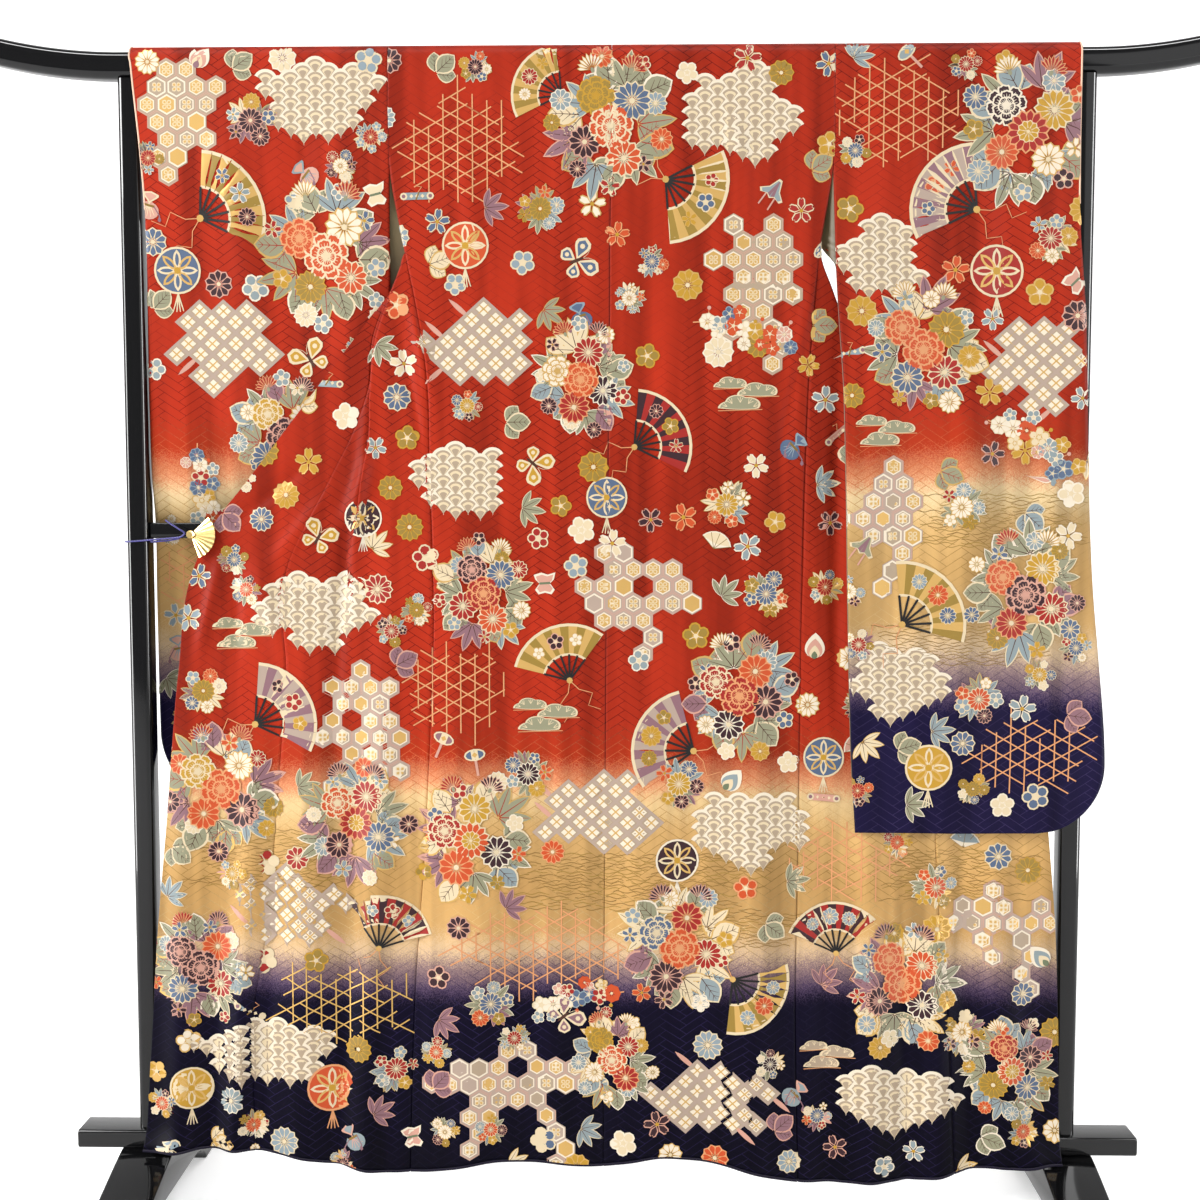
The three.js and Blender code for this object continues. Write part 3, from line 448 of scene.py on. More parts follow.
def cloth_mesh(name, grid, faces_viewer, materials, piped=(), wall=1.3):
    """A closed thin shell round a grid: its outside, its lining and its turned edges."""
    rows, columns = grid.shape[:2]
    across = np.gradient(grid, axis=1)
    along = np.gradient(grid, axis=0)
    cross = np.cross(across, along)
    normal = cross / np.maximum(np.linalg.norm(cross, axis=-1, keepdims=True), 1e-9)
    flip = (normal[rows // 2, columns // 6, 1] < 0) != faces_viewer
    if flip:
        normal = -normal
    shape = np.stack([grid + normal * wall / 2, grid - normal * wall / 2])
    index = np.arange(2 * rows * columns).reshape(2, rows, columns)
    quads, slots = [], []

    def strip(a, b, c, d, slot):
        faces = np.stack([a.ravel(), b.ravel(), c.ravel(), d.ravel()], -1)
        quads.append(faces[:, ::-1] if flip else faces)
        slots.append(np.full(len(faces), slot))

    face, back = index
    strip(face[:-1, :-1], face[:-1, 1:], face[1:, 1:], face[1:, :-1], 0)
    strip(back[:-1, :-1], back[1:, :-1], back[1:, 1:], back[:-1, 1:], 1)
    edge = {word: 2 if word in piped else 0 for word in ("top", "hem", "near", "far")}
    strip(back[0, :-1], back[0, 1:], face[0, 1:], face[0, :-1], edge["top"])
    strip(face[-1, :-1], face[-1, 1:], back[-1, 1:], back[-1, :-1], edge["hem"])
    strip(face[:-1, 0], face[1:, 0], back[1:, 0], back[:-1, 0], edge["near"])
    strip(back[:-1, -1], back[1:, -1], face[1:, -1], face[:-1, -1], edge["far"])
    OUTSIDES[name] = (shape[0].reshape(-1, 3), quads[0])
    mesh = bpy.data.meshes.new(name)
    quads = np.concatenate(quads)
    mesh.from_pydata((shape.reshape(-1, 3) * MM).tolist(), [], quads.tolist())
    mesh.polygons.foreach_set("material_index", np.concatenate(slots).astype(np.int32))
    mesh.polygons.foreach_set("use_smooth", np.ones(len(quads), bool))
    mesh.update()
    return new_object(name, mesh, materials)


def flat_area(grid):
    """The area of a grid of cloth, in square metres."""
    across = np.linalg.norm(np.diff(grid, axis=1), axis=-1)[:-1]
    along = np.linalg.norm(np.diff(grid, axis=0), axis=-1)[:, :-1]
    return float((across * along).sum()) * MM * MM


def ring_mesh(name, rings, materials):
    """A smooth bar through rings of equal point count."""
    count = len(rings[0])
    points = np.concatenate(rings)
    faces = []
    for r in range(len(rings) - 1):
        for i in range(count):
            a, b = r * count + i, r * count + (i + 1) % count
            faces.append((a, b, b + count, a + count))
    faces.append(tuple(range(count))[::-1])
    last = (len(rings) - 1) * count
    faces.append(tuple(range(last, last + count)))
    mesh = bpy.data.meshes.new(name)
    mesh.from_pydata((points * MM).tolist(), [], faces)
    made = bmesh.new()
    made.from_mesh(mesh)
    bmesh.ops.recalc_face_normals(made, faces=made.faces)
    made.to_mesh(mesh)
    made.free()
    mesh.polygons.foreach_set("use_smooth", np.ones(len(mesh.polygons), bool))
    mesh.set_sharp_from_angle(angle=math.radians(38))
    mesh.update()
    return new_object(name, mesh, materials)


def rounded_section(wide, tall, radius, steps=6):
    """A rounded rectangle about the origin, as points (a, b)."""
    points = []
    for ca, cb, start in ((1, 1, 0), (-1, 1, 90), (-1, -1, 180), (1, -1, 270)):
        for turn in np.radians(np.linspace(start, start + 90, steps)):
            points.append((ca * (wide / 2 - radius) + radius * math.cos(turn),
                           cb * (tall / 2 - radius) + radius * math.sin(turn)))
    return np.array(points)


def tube_along(name, path, radius, materials, sides=8):
    """A thin round roll along a line of points, closed at both ends."""
    path = np.asarray(path, float)
    ahead = np.gradient(path, axis=0)
    ahead /= np.linalg.norm(ahead, axis=1, keepdims=True)
    first = np.cross(ahead, np.array([0.13, 0.97, 0.2]))
    first /= np.linalg.norm(first, axis=1, keepdims=True)
    second = np.cross(ahead, first)
    turns = np.linspace(0, 2 * math.pi, sides, endpoint=False)
    rings = [p + radius * (np.cos(turns)[:, None] * a + np.sin(turns)[:, None] * b)
             for p, a, b in zip(path, first, second)]
    return ring_mesh(name, rings, materials)


# ------------------------------------------------------------------ materials


def rgb(text):
    """Scene colour of a six-digit display colour."""
    parts = [int(text[i:i + 2], 16) / 255 for i in (0, 2, 4)]
    return tuple(c / 12.92 if c <= 0.04045 else ((c + 0.055) / 1.055) ** 2.4 for c in parts) + (1.0,)


class Finish:
    """A material and short calls that add and wire its nodes."""

    def __init__(self, name, roughness, **constants):
        self.material = bpy.data.materials.new(name)
        self.material.use_nodes = True
        self.nodes = self.material.node_tree.nodes
        self.links = self.material.node_tree.links
        self.shader = self.nodes["Principled BSDF"]
        self.shader.inputs["Roughness"].default_value = roughness
        for socket, value in constants.items():
            self.shader.inputs[socket.replace("_", " ")].default_value = value

    def add(self, kind, sockets=(), **settings):
        node = self.nodes.new(kind)
        for key, value in settings.items():
            setattr(node, key, value)
        for key, value in dict(sockets).items():
            self.feed(node.inputs[key], value)
        return node

    def feed(self, socket, value):
        if isinstance(value, bpy.types.NodeSocket):
            self.links.new(value, socket)
        else:
            socket.default_value = value

    def sum(self, operation, *values):
        node = self.add("ShaderNodeMath", operation=operation)
        for socket, value in zip(node.inputs, values):
            self.feed(socket, value)
        return node.outputs[0]

    def blend(self, share, first, second, how="MIX"):
        node = self.add("ShaderNodeMix", data_type="RGBA", blend_type=how)
        for socket, value in ((node.inputs[0], share), (node.inputs[6], first), (node.inputs[7], second)):
            self.feed(socket, value)
        return node.outputs[2]

    def ramp(self, value, stops):
        node = self.add("ShaderNodeValToRGB", {0: value})
        bar = node.color_ramp.elements
        while len(bar) < len(stops):
            bar.new(1.0)
        for stop, (place, colour) in zip(bar, stops):
            stop.position = place
            stop.color = rgb(colour)
        return node.outputs[0]

    def noise(self, where, scale, detail=2.0):
        return self.add("ShaderNodeTexNoise", {"Vector": where, "Scale": scale, "Detail": detail}).outputs[0]

    def bump(self, height, depth, strength=1.0):
        node = self.add("ShaderNodeBump", {"Height": height, "Distance": depth, "Strength": strength})
        self.links.new(node.outputs[0], self.shader.inputs["Normal"])

    def colour(self, value):
        self.feed(self.shader.inputs["Base Color"], value)


def basket_lines(finish, x, z, brick, count=3, line=0.074):
    """1 on the lines of a slanting basket weave, in which strips of count bricks cross at right angles."""
    tall = finish.sum("MULTIPLY", z, 1.5)
    u = finish.sum("MULTIPLY", finish.sum("ADD", x, tall), 0.7071 / brick)
    v = finish.sum("MULTIPLY", finish.sum("SUBTRACT", tall, x), 0.7071 / brick)
    place = finish.sum("SUBTRACT", finish.sum("FLOOR", u), finish.sum("FLOOR", v))
    step = finish.sum("FLOORED_MODULO", place, 2.0 * count)
    lying = finish.sum("LESS_THAN", step, count - 0.5)
    below = finish.sum("MAXIMUM", lying, finish.sum("GREATER_THAN", step, 2 * count - 1.5))
    beside = finish.sum("MAXIMUM", finish.sum("SUBTRACT", 1.0, lying), finish.sum("LESS_THAN", step, 0.5))
    flat = finish.sum("MULTIPLY", below, finish.sum("LESS_THAN", finish.sum("FRACT", v), line))
    upright = finish.sum("MULTIPLY", beside, finish.sum("LESS_THAN", finish.sum("FRACT", u), line))
    return finish.sum("MAXIMUM", flat, upright)


def dyed_silk(name, bands, wave_high):
    """Figured silk whose dyed bands run into each other by height, with a basket weave tone on tone and
    painted fold shade in long vertical streaks.
    """
    cloth = context_kimono()
    finish = Finish(name, cloth.silk_roughness, Sheen_Weight=0.01, Sheen_Roughness=0.4,
                    Specular_IOR_Level=0.04)
    where = finish.add("ShaderNodeTexCoord").outputs["Object"]
    split = finish.add("ShaderNodeSeparateXYZ", {0: where})
    x, z = split.outputs[0], split.outputs[2]
    flat = finish.add("ShaderNodeCombineXYZ", {0: x, 1: finish.sum("MULTIPLY", z, 0.6)}).outputs[0]
    wave = finish.sum("SUBTRACT", finish.noise(flat, 4.5, 1.0), 0.5)
    grid = finish.add("ShaderNodeVectorMath", {0: where, 1: (0.0012, 0.0012, 0.0012)},
                      operation="SNAP").outputs[0]
    speck = finish.add("ShaderNodeTexWhiteNoise", {0: grid}, noise_dimensions="3D").outputs[0]
    height = finish.sum("ADD", z, finish.sum("MULTIPLY", wave, wave_high))
    height = finish.sum("ADD", height, finish.sum("MULTIPLY", finish.sum("SUBTRACT", speck, 0.5), 0.018))
    span = 1.75
    stops = [(level / span, colour) for level, colour, _ in bands]
    lines = [(level / span, line) for level, _, line in bands]
    share = finish.sum("DIVIDE", height, span)
    ground = finish.ramp(share, stops)
    figure = finish.ramp(share, lines)
    weave = basket_lines(finish, x, z, cloth.weave_brick)
    worn = finish.ramp(finish.noise(where, 7.0, 3.0), [(0.3, "B8B8B8"), (0.75, "FFFFFF")])
    seen = finish.sum("MULTIPLY", weave, finish.ramp(finish.noise(where, 5.0, 1.0),
                                                     [(0.36, "707070"), (0.56, "FFFFFF")]))
    dyed = finish.blend(seen, ground, figure)
    # Painted shade and sheen: noise stretched down the hang darkens the colour in long vertical streaks,
    # standing in for the light and shade of soft folds and the silk's uneven sheen.
    hang = finish.add("ShaderNodeVectorMath", {0: where, 1: (22.0, 22.0, 1.3)},
                      operation="MULTIPLY").outputs[0]
    painted_fold_shade = finish.ramp(finish.noise(hang, 1.0, 2.0), [(0.34, "7C7C7C"), (0.6, "FFFFFF")])
    dyed = finish.blend(0.52, dyed, finish.blend(1.0, dyed, painted_fold_shade, "MULTIPLY"))
    finish.colour(finish.blend(0.35, dyed, finish.blend(1.0, dyed, worn, "MULTIPLY")))
    grain = finish.sum("ADD", finish.sum("MULTIPLY", finish.noise(where, 1400.0, 1.0), 0.5),
                       finish.sum("MULTIPLY", weave, -0.6))
    finish.bump(grain, 0.00022, 0.8)
    return finish.material


BODY_BANDS = [
    (0.00, "070512", "1C1636"), (0.325, "0D091F", "282045"), (0.345, "4A3A55", "1E1632"),
              (0.375, "8E7473", "5A4658"),
    (0.40, "D9B991", "A98A5C"), (0.43, "CBA065", "E0BF86"), (0.50, "C99D60", "9F7C42"),
              (0.58, "D2A86C", "A9854A"),
    (0.625, "E6C690", "C79A5E"), (0.65, "DE9468", "C9683C"), (0.69, "AE351A", "D0683E"),
              (0.74, "B0301A", "6A130B"),
    (1.10, "AE2F19", "66120A"), (1.75, "AC2E19", "62110A")]
SLEEVE_BANDS = [
    (0.00, "16112C", "2C234A"), (0.765, "1B1538", "352B52"), (0.785, "55445F", "2A2040"),
                (0.815, "937A7C", "5F4C62"),
    (0.85, "E0C39C", "A98A5C"), (0.885, "CFA66B", "E0BF86"), (0.96, "CDA366", "A27F45"),
                (1.03, "D6AE72", "AC8850"),
    (1.075, "EDD3A2", "C79A5E"), (1.10, "DE9468", "C9683C"), (1.14, "B2381C", "D0683E"),
                (1.19, "B2311B", "6B140C"),
    (1.40, "B0301A", "68130B"), (1.75, "AD2F1A", "64120A")]


def lining_silk(name, dark, pale):
    """Smooth lining silk, a little uneven in tone, with a fine plain weave; the colours it is given carry
    painted shade.
    """
    finish = Finish(name, 0.5, Sheen_Weight=0.25, Sheen_Roughness=0.4, Specular_IOR_Level=0.35)
    where = finish.add("ShaderNodeTexCoord").outputs["Object"]
    finish.colour(finish.ramp(finish.noise(where, 9.0, 3.0), [(0.3, dark), (0.7, pale)]))
    finish.bump(finish.noise(where, 1500.0, 1.0), 0.00015, 0.7)
    return finish.material


def piping_silk(name, colour):
    """The turned edge that shows at cuffs and hem."""
    finish = Finish(name, 0.5, Base_Color=rgb(colour), Sheen_Weight=0.02, Specular_IOR_Level=0.1)
    where = finish.add("ShaderNodeTexCoord").outputs["Object"]
    finish.bump(finish.noise(where, 900.0, 1.0), 0.0002, 0.6)
    return finish.material


def black_lacquer(name):
    """Polished black lacquer: a deep coat over a body that is not quite level."""
    finish = Finish(name, 0.07, Base_Color=(0.004, 0.004, 0.0045, 1.0), Specular_IOR_Level=0.3)
    where = finish.add("ShaderNodeTexCoord").outputs["Object"]
    finish.bump(finish.noise(where, 14.0, 2.0), 0.0006, 0.1)
    return finish.material


def gilt(name):
    """Gilt metal, brushed lightly."""
    finish = Finish(name, 0.28, Base_Color=(0.78, 0.56, 0.22, 1.0), Metallic=1.0)
    where = finish.add("ShaderNodeTexCoord").outputs["Object"]
    finish.bump(finish.noise(where, 700.0, 2.0), 0.0001, 0.5)
    return finish.material


def twisted_cord(name):
    """Dark violet silk cord, laid from twisted strands."""
    finish = Finish(name, 0.6, Base_Color=rgb("261E78"), Sheen_Weight=0.1)
    where = finish.add("ShaderNodeTexCoord").outputs["Object"]
    strands = finish.add("ShaderNodeTexWave", {"Vector": where, "Scale": 160.0, "Distortion": 1.0},
                         bands_direction="DIAGONAL")
    finish.bump(strands.outputs[1], 0.0005, 0.8)
    return finish.material


# ------------------------------------------------------------------ settings


class KimonoSettings(bpy.types.PropertyGroup):
    """Sizes and finishes of the kimono that a user would change."""

    wall: FloatProperty(name="Cloth thickness", description="Silk and lining together", default=0.0013,
                        min=0.0008, max=0.002, unit="LENGTH")
    piping_radius: FloatProperty(name="Hem roll", description="Radius of the padded roll at the hem",
                                 default=0.0021, unit="LENGTH")
    weave_brick: FloatProperty(name="Weave step", description="Width of one strip of the basket weave",
                               default=0.0145, unit="LENGTH")
    silk_roughness: FloatProperty(name="Silk roughness", description="How matt the figured silk is",
                                  default=0.48, min=0.0, max=1.0, subtype="FACTOR")


class StandSettings(bpy.types.PropertyGroup):
    """Sizes of the lacquered stand."""

    post_wide: FloatProperty(name="Post width", description="Width of a post", default=0.032, unit="LENGTH")
    post_deep: FloatProperty(name="Post depth", description="Depth of a post", default=0.036, unit="LENGTH")
    foot_wide: FloatProperty(name="Foot width", description="Width of a foot", default=0.080, unit="LENGTH")
    foot_bevel: FloatProperty(name="Foot rounding", description="Rounding of a foot's long edges",
                              default=0.003, unit="LENGTH")


class StudioSettings(bpy.types.PropertyGroup):
    """The camera and the light round the stand."""

    camera_place: FloatVectorProperty(name="Camera", description="Where the camera stands", size=3,
                                      default=(0.035, -2.174, 1.067), subtype="TRANSLATION", unit="LENGTH")
    camera_dip: FloatProperty(name="Camera dip", description="How far the camera looks down",
                              default=math.radians(3.9), subtype="ANGLE", unit="ROTATION")
    camera_turn: FloatProperty(name="Camera turn", description="How far the camera looks to the left",
                               default=math.radians(1.09), subtype="ANGLE", unit="ROTATION")
    lens: FloatProperty(name="Lens", description="Focal length in millimetres", default=44.2)
    key_power: FloatProperty(name="Key light", description="Power of the large soft light", default=440.0,
                             unit="POWER")
    strip_power: FloatProperty(name="Strip lights",
                               description="Power of the strips that the lacquer mirrors",
                               default=200.0, unit="POWER")


def context_kimono():
    return bpy.context.scene.furisode_kimono


def attach(piece, slot_name, *nodes):
    """Every piece rides with the one body and may stand for solids, whose parts it hides; slot_name is not
    used.
    """
    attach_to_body(piece, "root")
    if nodes:
        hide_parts(*nodes)
    return piece


def shared(name, make, *words):
    """A material made once and used again."""
    return bpy.data.materials.get(name) or make(name, *words)


def body_silk():
    return shared("body silk", dyed_silk, BODY_BANDS, 0.045)


def sleeve_silk():
    return shared("sleeve silk", dyed_silk, SLEEVE_BANDS, 0.05)


def lining():
    # Painted shade: the lining's olive-browns are darkened to the deep shade it lies in where it shows
    # through the slits.
    return shared("lining silk", lining_silk, "55482E", "695B3C")


def piping():
    return shared("piping silk", piping_silk, "E4BFA4")


def hem_silk():
    return shared("hem silk", piping_silk, "100A20")


def lacquer():
    return shared("black lacquer", black_lacquer)


def gilding():
    return shared("gilt brass", gilt)


# ------------------------------------------------------------------ cords

CORD_DIAMETER = 0.0025
CORD_ROUTE = [
    (-0.643, -0.0245, 1.037), (-0.634, -0.025, 1.031), (-0.623, -0.0255, 1.024), (-0.615, -0.025, 1.018),
    (-0.620, -0.0238, 1.013), (-0.636, -0.022, 1.0105), (-0.660, -0.021, 1.0085), (-0.682, -0.0208, 1.0065),
    (-0.698, -0.0208, 1.0055), (-0.7052, -0.0158, 1.005), (-0.7068, -0.006, 1.0046), (-0.7068, 0.006, 1.0043),
    (-0.7052, 0.0158, 1.004), (-0.698, 0.0208, 1.0038), (-0.680, 0.0208, 1.0036), (-0.671, 0.0166, 1.0036),
    (-0.6694, 0.006, 1.004), (-0.6693, -0.006, 1.0046), (-0.667, -0.015, 1.005), (-0.658, -0.0186, 1.0056),
    (-0.640, -0.0192, 1.007), (-0.624, -0.0196, 1.010)]


def smooth_route(points, steps=8):
    """A curve through every point, its turns eased by the distances between them."""
    points = [Vector(p) for p in points]
    ends = [points[0] * 2 - points[1]] + points + [points[-1] * 2 - points[-2]]
    route = []
    for p0, p1, p2, p3 in zip(ends, ends[1:], ends[2:], ends[3:]):
        knots = [0.0]
        for a, b in ((p0, p1), (p1, p2), (p2, p3)):
            knots.append(knots[-1] + math.sqrt((b - a).length))
        k0, k1, k2, k3 = knots
        for i in range(steps):
            k = k1 + (k2 - k1) * i / steps
            a1 = p0 * ((k1 - k) / (k1 - k0)) + p1 * ((k - k0) / (k1 - k0))
            a2 = p1 * ((k2 - k) / (k2 - k1)) + p2 * ((k - k1) / (k2 - k1))
            a3 = p2 * ((k3 - k) / (k3 - k2)) + p3 * ((k - k2) / (k3 - k2))
            b1 = a1 * ((k2 - k) / (k2 - k0)) + a2 * ((k - k0) / (k2 - k0))
            b2 = a2 * ((k3 - k) / (k3 - k1)) + a3 * ((k - k1) / (k3 - k1))
            route.append(b1 * ((k2 - k) / (k2 - k1)) + b2 * ((k - k1) / (k2 - k1)))
    return route + [points[-1]]


class OBJECT_OT_camera_and_cords(bpy.types.Operator):
    """Set up the camera and lay the two cords that tie the fan clips to the posts"""

    bl_idname = "kimono.camera_and_cords"
    bl_label = "Camera and Tie Cords"

    def execute(self, context):
        studio = context.scene.furisode_studio
        data = bpy.data.cameras.new("kimono camera")
        data.lens = studio.lens
        data.sensor_width = 36.0
        camera = bpy.data.objects.new("kimono_camera", data)
        camera.location = studio.camera_place
        camera.rotation_euler = (math.radians(90) - studio.camera_dip, 0.0, studio.camera_turn)
        context.scene.collection.objects.link(camera)
        context.scene.camera = camera
        for word, side in (("left", 1), ("right", -1)):
            route = smooth_route([(side * x, y, z) for x, y, z in CORD_ROUTE])
            curve = bpy.data.curves.new(f"tie_cord_{word}", "CURVE")
            curve.dimensions = "3D"
            curve.bevel_depth = CORD_DIAMETER / 2
            curve.bevel_resolution = 3
            curve.use_fill_caps = True
            line = curve.splines.new("POLY")
            line.points.add(len(route) - 1)
            for point, place in zip(line.points, route):
                point.co = (*place, 1.0)
            curve.materials.append(shared("cord silk", twisted_cord))
            cord = bpy.data.objects.new(f"tie_cord_{word}", curve)
            context.scene.collection.objects.link(cord)
            attach(cord, "cord_silk", f"clip_cord_{word}")
        return {"FINISHED"}


# ------------------------------------------------------------------ the stand


class OBJECT_OT_stand_rails(bpy.types.Operator):
    """Build the three rails of the stand, the top one with raised ends"""

    bl_idname = "kimono.stand_rails"
    bl_label = "Stand Rails"

    def execute(self, context):
        section = rounded_section(RAIL_DEEP, RAIL_TALL, RAIL_ROUND, 8)
        tip = 8.0
        half = [0.0, 350.0] + list(np.linspace(RAIL_FLAT_HALF, RAIL_HALF - tip, 26))
        turns = np.linspace(0, math.pi / 2, 6)[1:]
        stations = [(x, 1.0) for x in half]
        stations += [(RAIL_HALF - tip + tip * math.sin(a), 1 - 0.38 * (1 - math.cos(a))) for a in turns]
        rings = []
        for x, size in [(-x, size) for x, size in stations[:0:-1]] + stations:
            out = max(0.0, abs(x) - RAIL_FLAT_HALF) / (RAIL_HALF - RAIL_FLAT_HALF)
            middle = RAIL_TOP - RAIL_TALL / 2 + RAIL_END_RISE * out * out
            rings.append(np.array([(x, a * size, middle + b * size) for a, b in section]))
        attach(ring_mesh("stand_top_rail", rings, [lacquer()]), "black_lacquer", "top_rail")
        for name, node, wide, tall, radius, half, middle in (
                ("stand_mid_rail", "mid_rail", 21.0, 23.0, 3.0, 671.7, 1021.5),
                ("stand_lower_rail", "lower_rail", 52.0, 27.6, 4.0, 795.0, 103.8)):
            rings = []
            bevel = 3.0
            places = [half - bevel + bevel * math.sin(a) for a in np.linspace(0, math.pi / 2, 5)]
            insets = [bevel * (1 - math.cos(a)) for a in np.linspace(0, math.pi / 2, 5)]
            both = [(-x, inset) for x, inset in list(zip(places, insets))[::-1]] + list(zip(places, insets))
            for x, inset in both:
                slim = rounded_section(wide - 2 * inset, tall - 2 * inset, radius, 5)
                rings.append(np.array([(x, a, middle + b) for a, b in slim]))
            attach(ring_mesh(name, rings, [lacquer()]), "black_lacquer", node)
        return {"FINISHED"}


def foot_outline():
    """Side view of a foot, (depth, height) points from its front pad anticlockwise."""
    half, pad, arch, tip, level, crown = 230.0, 90.0, 30.0, 34.0, 26.0, 89.7

    def curve(*corners, steps=12):
        corners = [np.array(c, float) for c in corners]
        made = []
        for t in np.linspace(0, 1, steps + 1):
            line = corners
            while len(line) > 1:
                line = [mix(a, b, t) for a, b in zip(line, line[1:])]
            made.append(line[0])
        return made

    points = [np.array([-half, 0.0])]
    points += curve((-half + pad, 0), (-half + pad + 20, arch), (-half + pad + 60, arch))
    points += curve((half - pad - 60, arch), (half - pad - 20, arch), (half - pad, 0))
    points += [np.array([half, 0.0])]
    points += curve((half, tip), (half - 60, tip + 6), (level + 60, crown - 14), (level, crown))
    points += curve((-level, crown), (-level - 60, crown - 14), (-half + 60, tip + 6), (-half, tip))
    return np.array(points)


class OBJECT_OT_stand_feet(bpy.types.Operator):
    """Build the two posts and the two arched feet"""

    bl_idname = "kimono.stand_feet"
    bl_label = "Posts and Feet"

    def execute(self, context):
        sizes = context.scene.furisode_stand
        outline = foot_outline()
        ahead = np.roll(outline, -1, axis=0) - np.roll(outline, 1, axis=0)
        inward = np.stack([-ahead[:, 1], ahead[:, 0]], -1)
        inward /= np.linalg.norm(inward, axis=1, keepdims=True)
        bevel = sizes.foot_bevel / MM
        half = sizes.foot_wide / MM / 2
        turns = np.linspace(0, math.pi / 2, 5)
        steps = [(half - bevel + bevel * math.sin(a), bevel * (1 - math.cos(a))) for a in turns]
        for word, side in (("left", -1), ("right", 1)):
            rings = []
            for x, inset in [(-x, inset) for x, inset in steps[::-1]] + steps:
                line = outline + inward * inset
                line[:, 1] = np.maximum(line[:, 1], 0.0)
                rings.append(np.stack([np.full(len(line), side * POST_CENTRE + x), line[:, 0], line[:, 1]],
                                      -1))
            attach(ring_mesh(f"stand_foot_{word}", rings, [lacquer()]), "black_lacquer", f"foot_{word}")
            section = rounded_section(sizes.post_wide / MM, sizes.post_deep / MM, 9.0, 8)
            rings = [np.array([(side * POST_CENTRE + a, b, z) for a, b in section]) for z in POST_RINGS]
            attach(ring_mesh(f"stand_post_{word}", rings, [lacquer()]), "black_lacquer", f"post_{word}")
        return {"FINISHED"}


# ------------------------------------------------------------------ drawing on cloth

DYES = {
    "cream": "CFBC99", "white": "D8CBB5", "gold": "BF9957", "deep_gold": "7D612D", "peach": "CB8C5D",
    "sage": "87856A", "mauve": "805B63", "ash": "7F8B8D", "blue": "4A5A73", "pale_blue": "7E8C93",
    "crimson": "92150A", "maroon": "2C0913", "orange": "B84313", "yellow": "B08520", "olive": "8C7028",
    "pink": "C08E7C", "black": "0A0605", "bark": "43200F", "stone": "9F8C75", "moss": "616A4F",
    "lilac": "A38F80"}
DYE_ORDER = list(DYES)
LIFT = 0.45
LAYER = 0.07
FACET = 10.0
BODY_ZONES = (-275.0, 285.0)


def convex(outline):
    """Whether a closed outline turns the same way at every corner."""
    ahead = np.roll(outline, -1, axis=0) - outline
    after = np.roll(ahead, -1, axis=0)
    turn = ahead[:, 0] * after[:, 1] - ahead[:, 1] * after[:, 0]
    return turn.min() > -1e-9 or turn.max() < 1e-9


class Drawing:
    """Flat shapes in millimetres, gathered as triangles with a dye and a layer, to be laid on cloth."""

    def __init__(self):
        self.points, self.lifts, self.faces, self.dyes = [], [], [], []
        self.count = 0
        self.cells = set()

    def free_cells(self, spots):
        """The cells of a ground that no earlier patch has filled."""
        fresh = []
        for spot in spots:
            key = (round(spot[0]), round(spot[1]))
            if key not in self.cells:
                self.cells.add(key)
                fresh.append(spot)
        return fresh

    def put(self, points, faces, dye, layer):
        self.points.append(points)
        self.lifts.append(np.full(len(points), LIFT + LAYER * layer))
        self.faces.append(np.asarray(faces) + self.count)
        self.dyes.append(np.full(len(faces), DYE_ORDER.index(dye)))
        self.count += len(points)

    def fill(self, outline, dye, layer=0.0, centre=None):
        outline = np.asarray(outline, float)
        centre = outline.mean(axis=0) if centre is None else np.asarray(centre, float)
        arms = outline - centre
        rings = max(1, math.ceil(np.linalg.norm(arms, axis=1).max() / FACET))
        count = len(outline)
        if rings == 1 and convex(outline):
            fan = np.arange(1, count - 1)
            self.put(outline, np.stack([np.zeros(count - 2, int), fan, fan + 1], -1), dye, layer)
            return
        points = np.concatenate([centre[None]] + [centre + arms * k / rings for k in range(1, rings + 1)])
        ahead = np.roll(np.arange(count), -1)
        here = np.arange(count)
        faces = [np.stack([np.zeros(count, int), 1 + here, 1 + ahead], -1)]
        for k in range(1, rings):
            a, b = 1 + (k - 1) * count, 1 + k * count
            faces.append(np.stack([a + here, b + here, b + ahead], -1))
            faces.append(np.stack([a + here, b + ahead, a + ahead], -1))
        self.put(points, np.concatenate(faces), dye, layer)

    def stroke(self, points, width, dye, layer=0.0, closed=False, taper=1.0):
        points = np.asarray(points, float)
        if closed:
            points = np.concatenate([points, points[:1]])
        line = [points[:1]]
        for a, b in zip(points, points[1:]):
            steps = max(1, math.ceil(np.linalg.norm(b - a) / FACET))
            line.append(a + (b - a) * (np.arange(1, steps + 1) / steps)[:, None])
        line = np.concatenate(line)
        ahead = np.gradient(line, axis=0)
        ahead /= np.maximum(np.linalg.norm(ahead, axis=1, keepdims=True), 1e-9)
        half = np.stack([-ahead[:, 1], ahead[:, 0]], -1) * np.linspace(1, taper, len(line))[:,
                                                                                            None] * width / 2
        n = len(line)
        here = np.arange(n - 1)
        faces = np.concatenate([np.stack([here, here + 1, n + here + 1], -1),
                                np.stack([here, n + here + 1, n + here], -1)])
        self.put(np.concatenate([line - half, line + half]), faces, dye, layer)



def placed(points, at, turn=0.0, size=1.0):
    c, s = math.cos(turn), math.sin(turn)
    return np.asarray(at, float) + size * (np.asarray(points, float) @ np.array([[c, s], [-s, c]]))


def away(at, turn, reach):
    return (at[0] + reach * math.cos(turn), at[1] + reach * math.sin(turn))


def disc(at, radius, sides=9, squash=1.0, turn=0.0):
    a = np.linspace(0, 2 * math.pi, sides, endpoint=False)
    return placed(np.stack([np.cos(a), squash * np.sin(a)], -1) * radius, at, turn)


def petal(start, end, half, widest=0.62, steps=4, blunt=0.6):
    """An outline along +x from start to end, widest past its middle."""
    t = np.linspace(0, 1, steps + 2)
    high = half * np.sin(math.pi * t ** (math.log(0.5) / math.log(widest))) ** blunt
    high[0] = high[-1] = 0.0
    x = start + (end - start) * t
    return np.concatenate([np.stack([x, high], -1), np.stack([x, -high], -1)[-2:0:-1]])


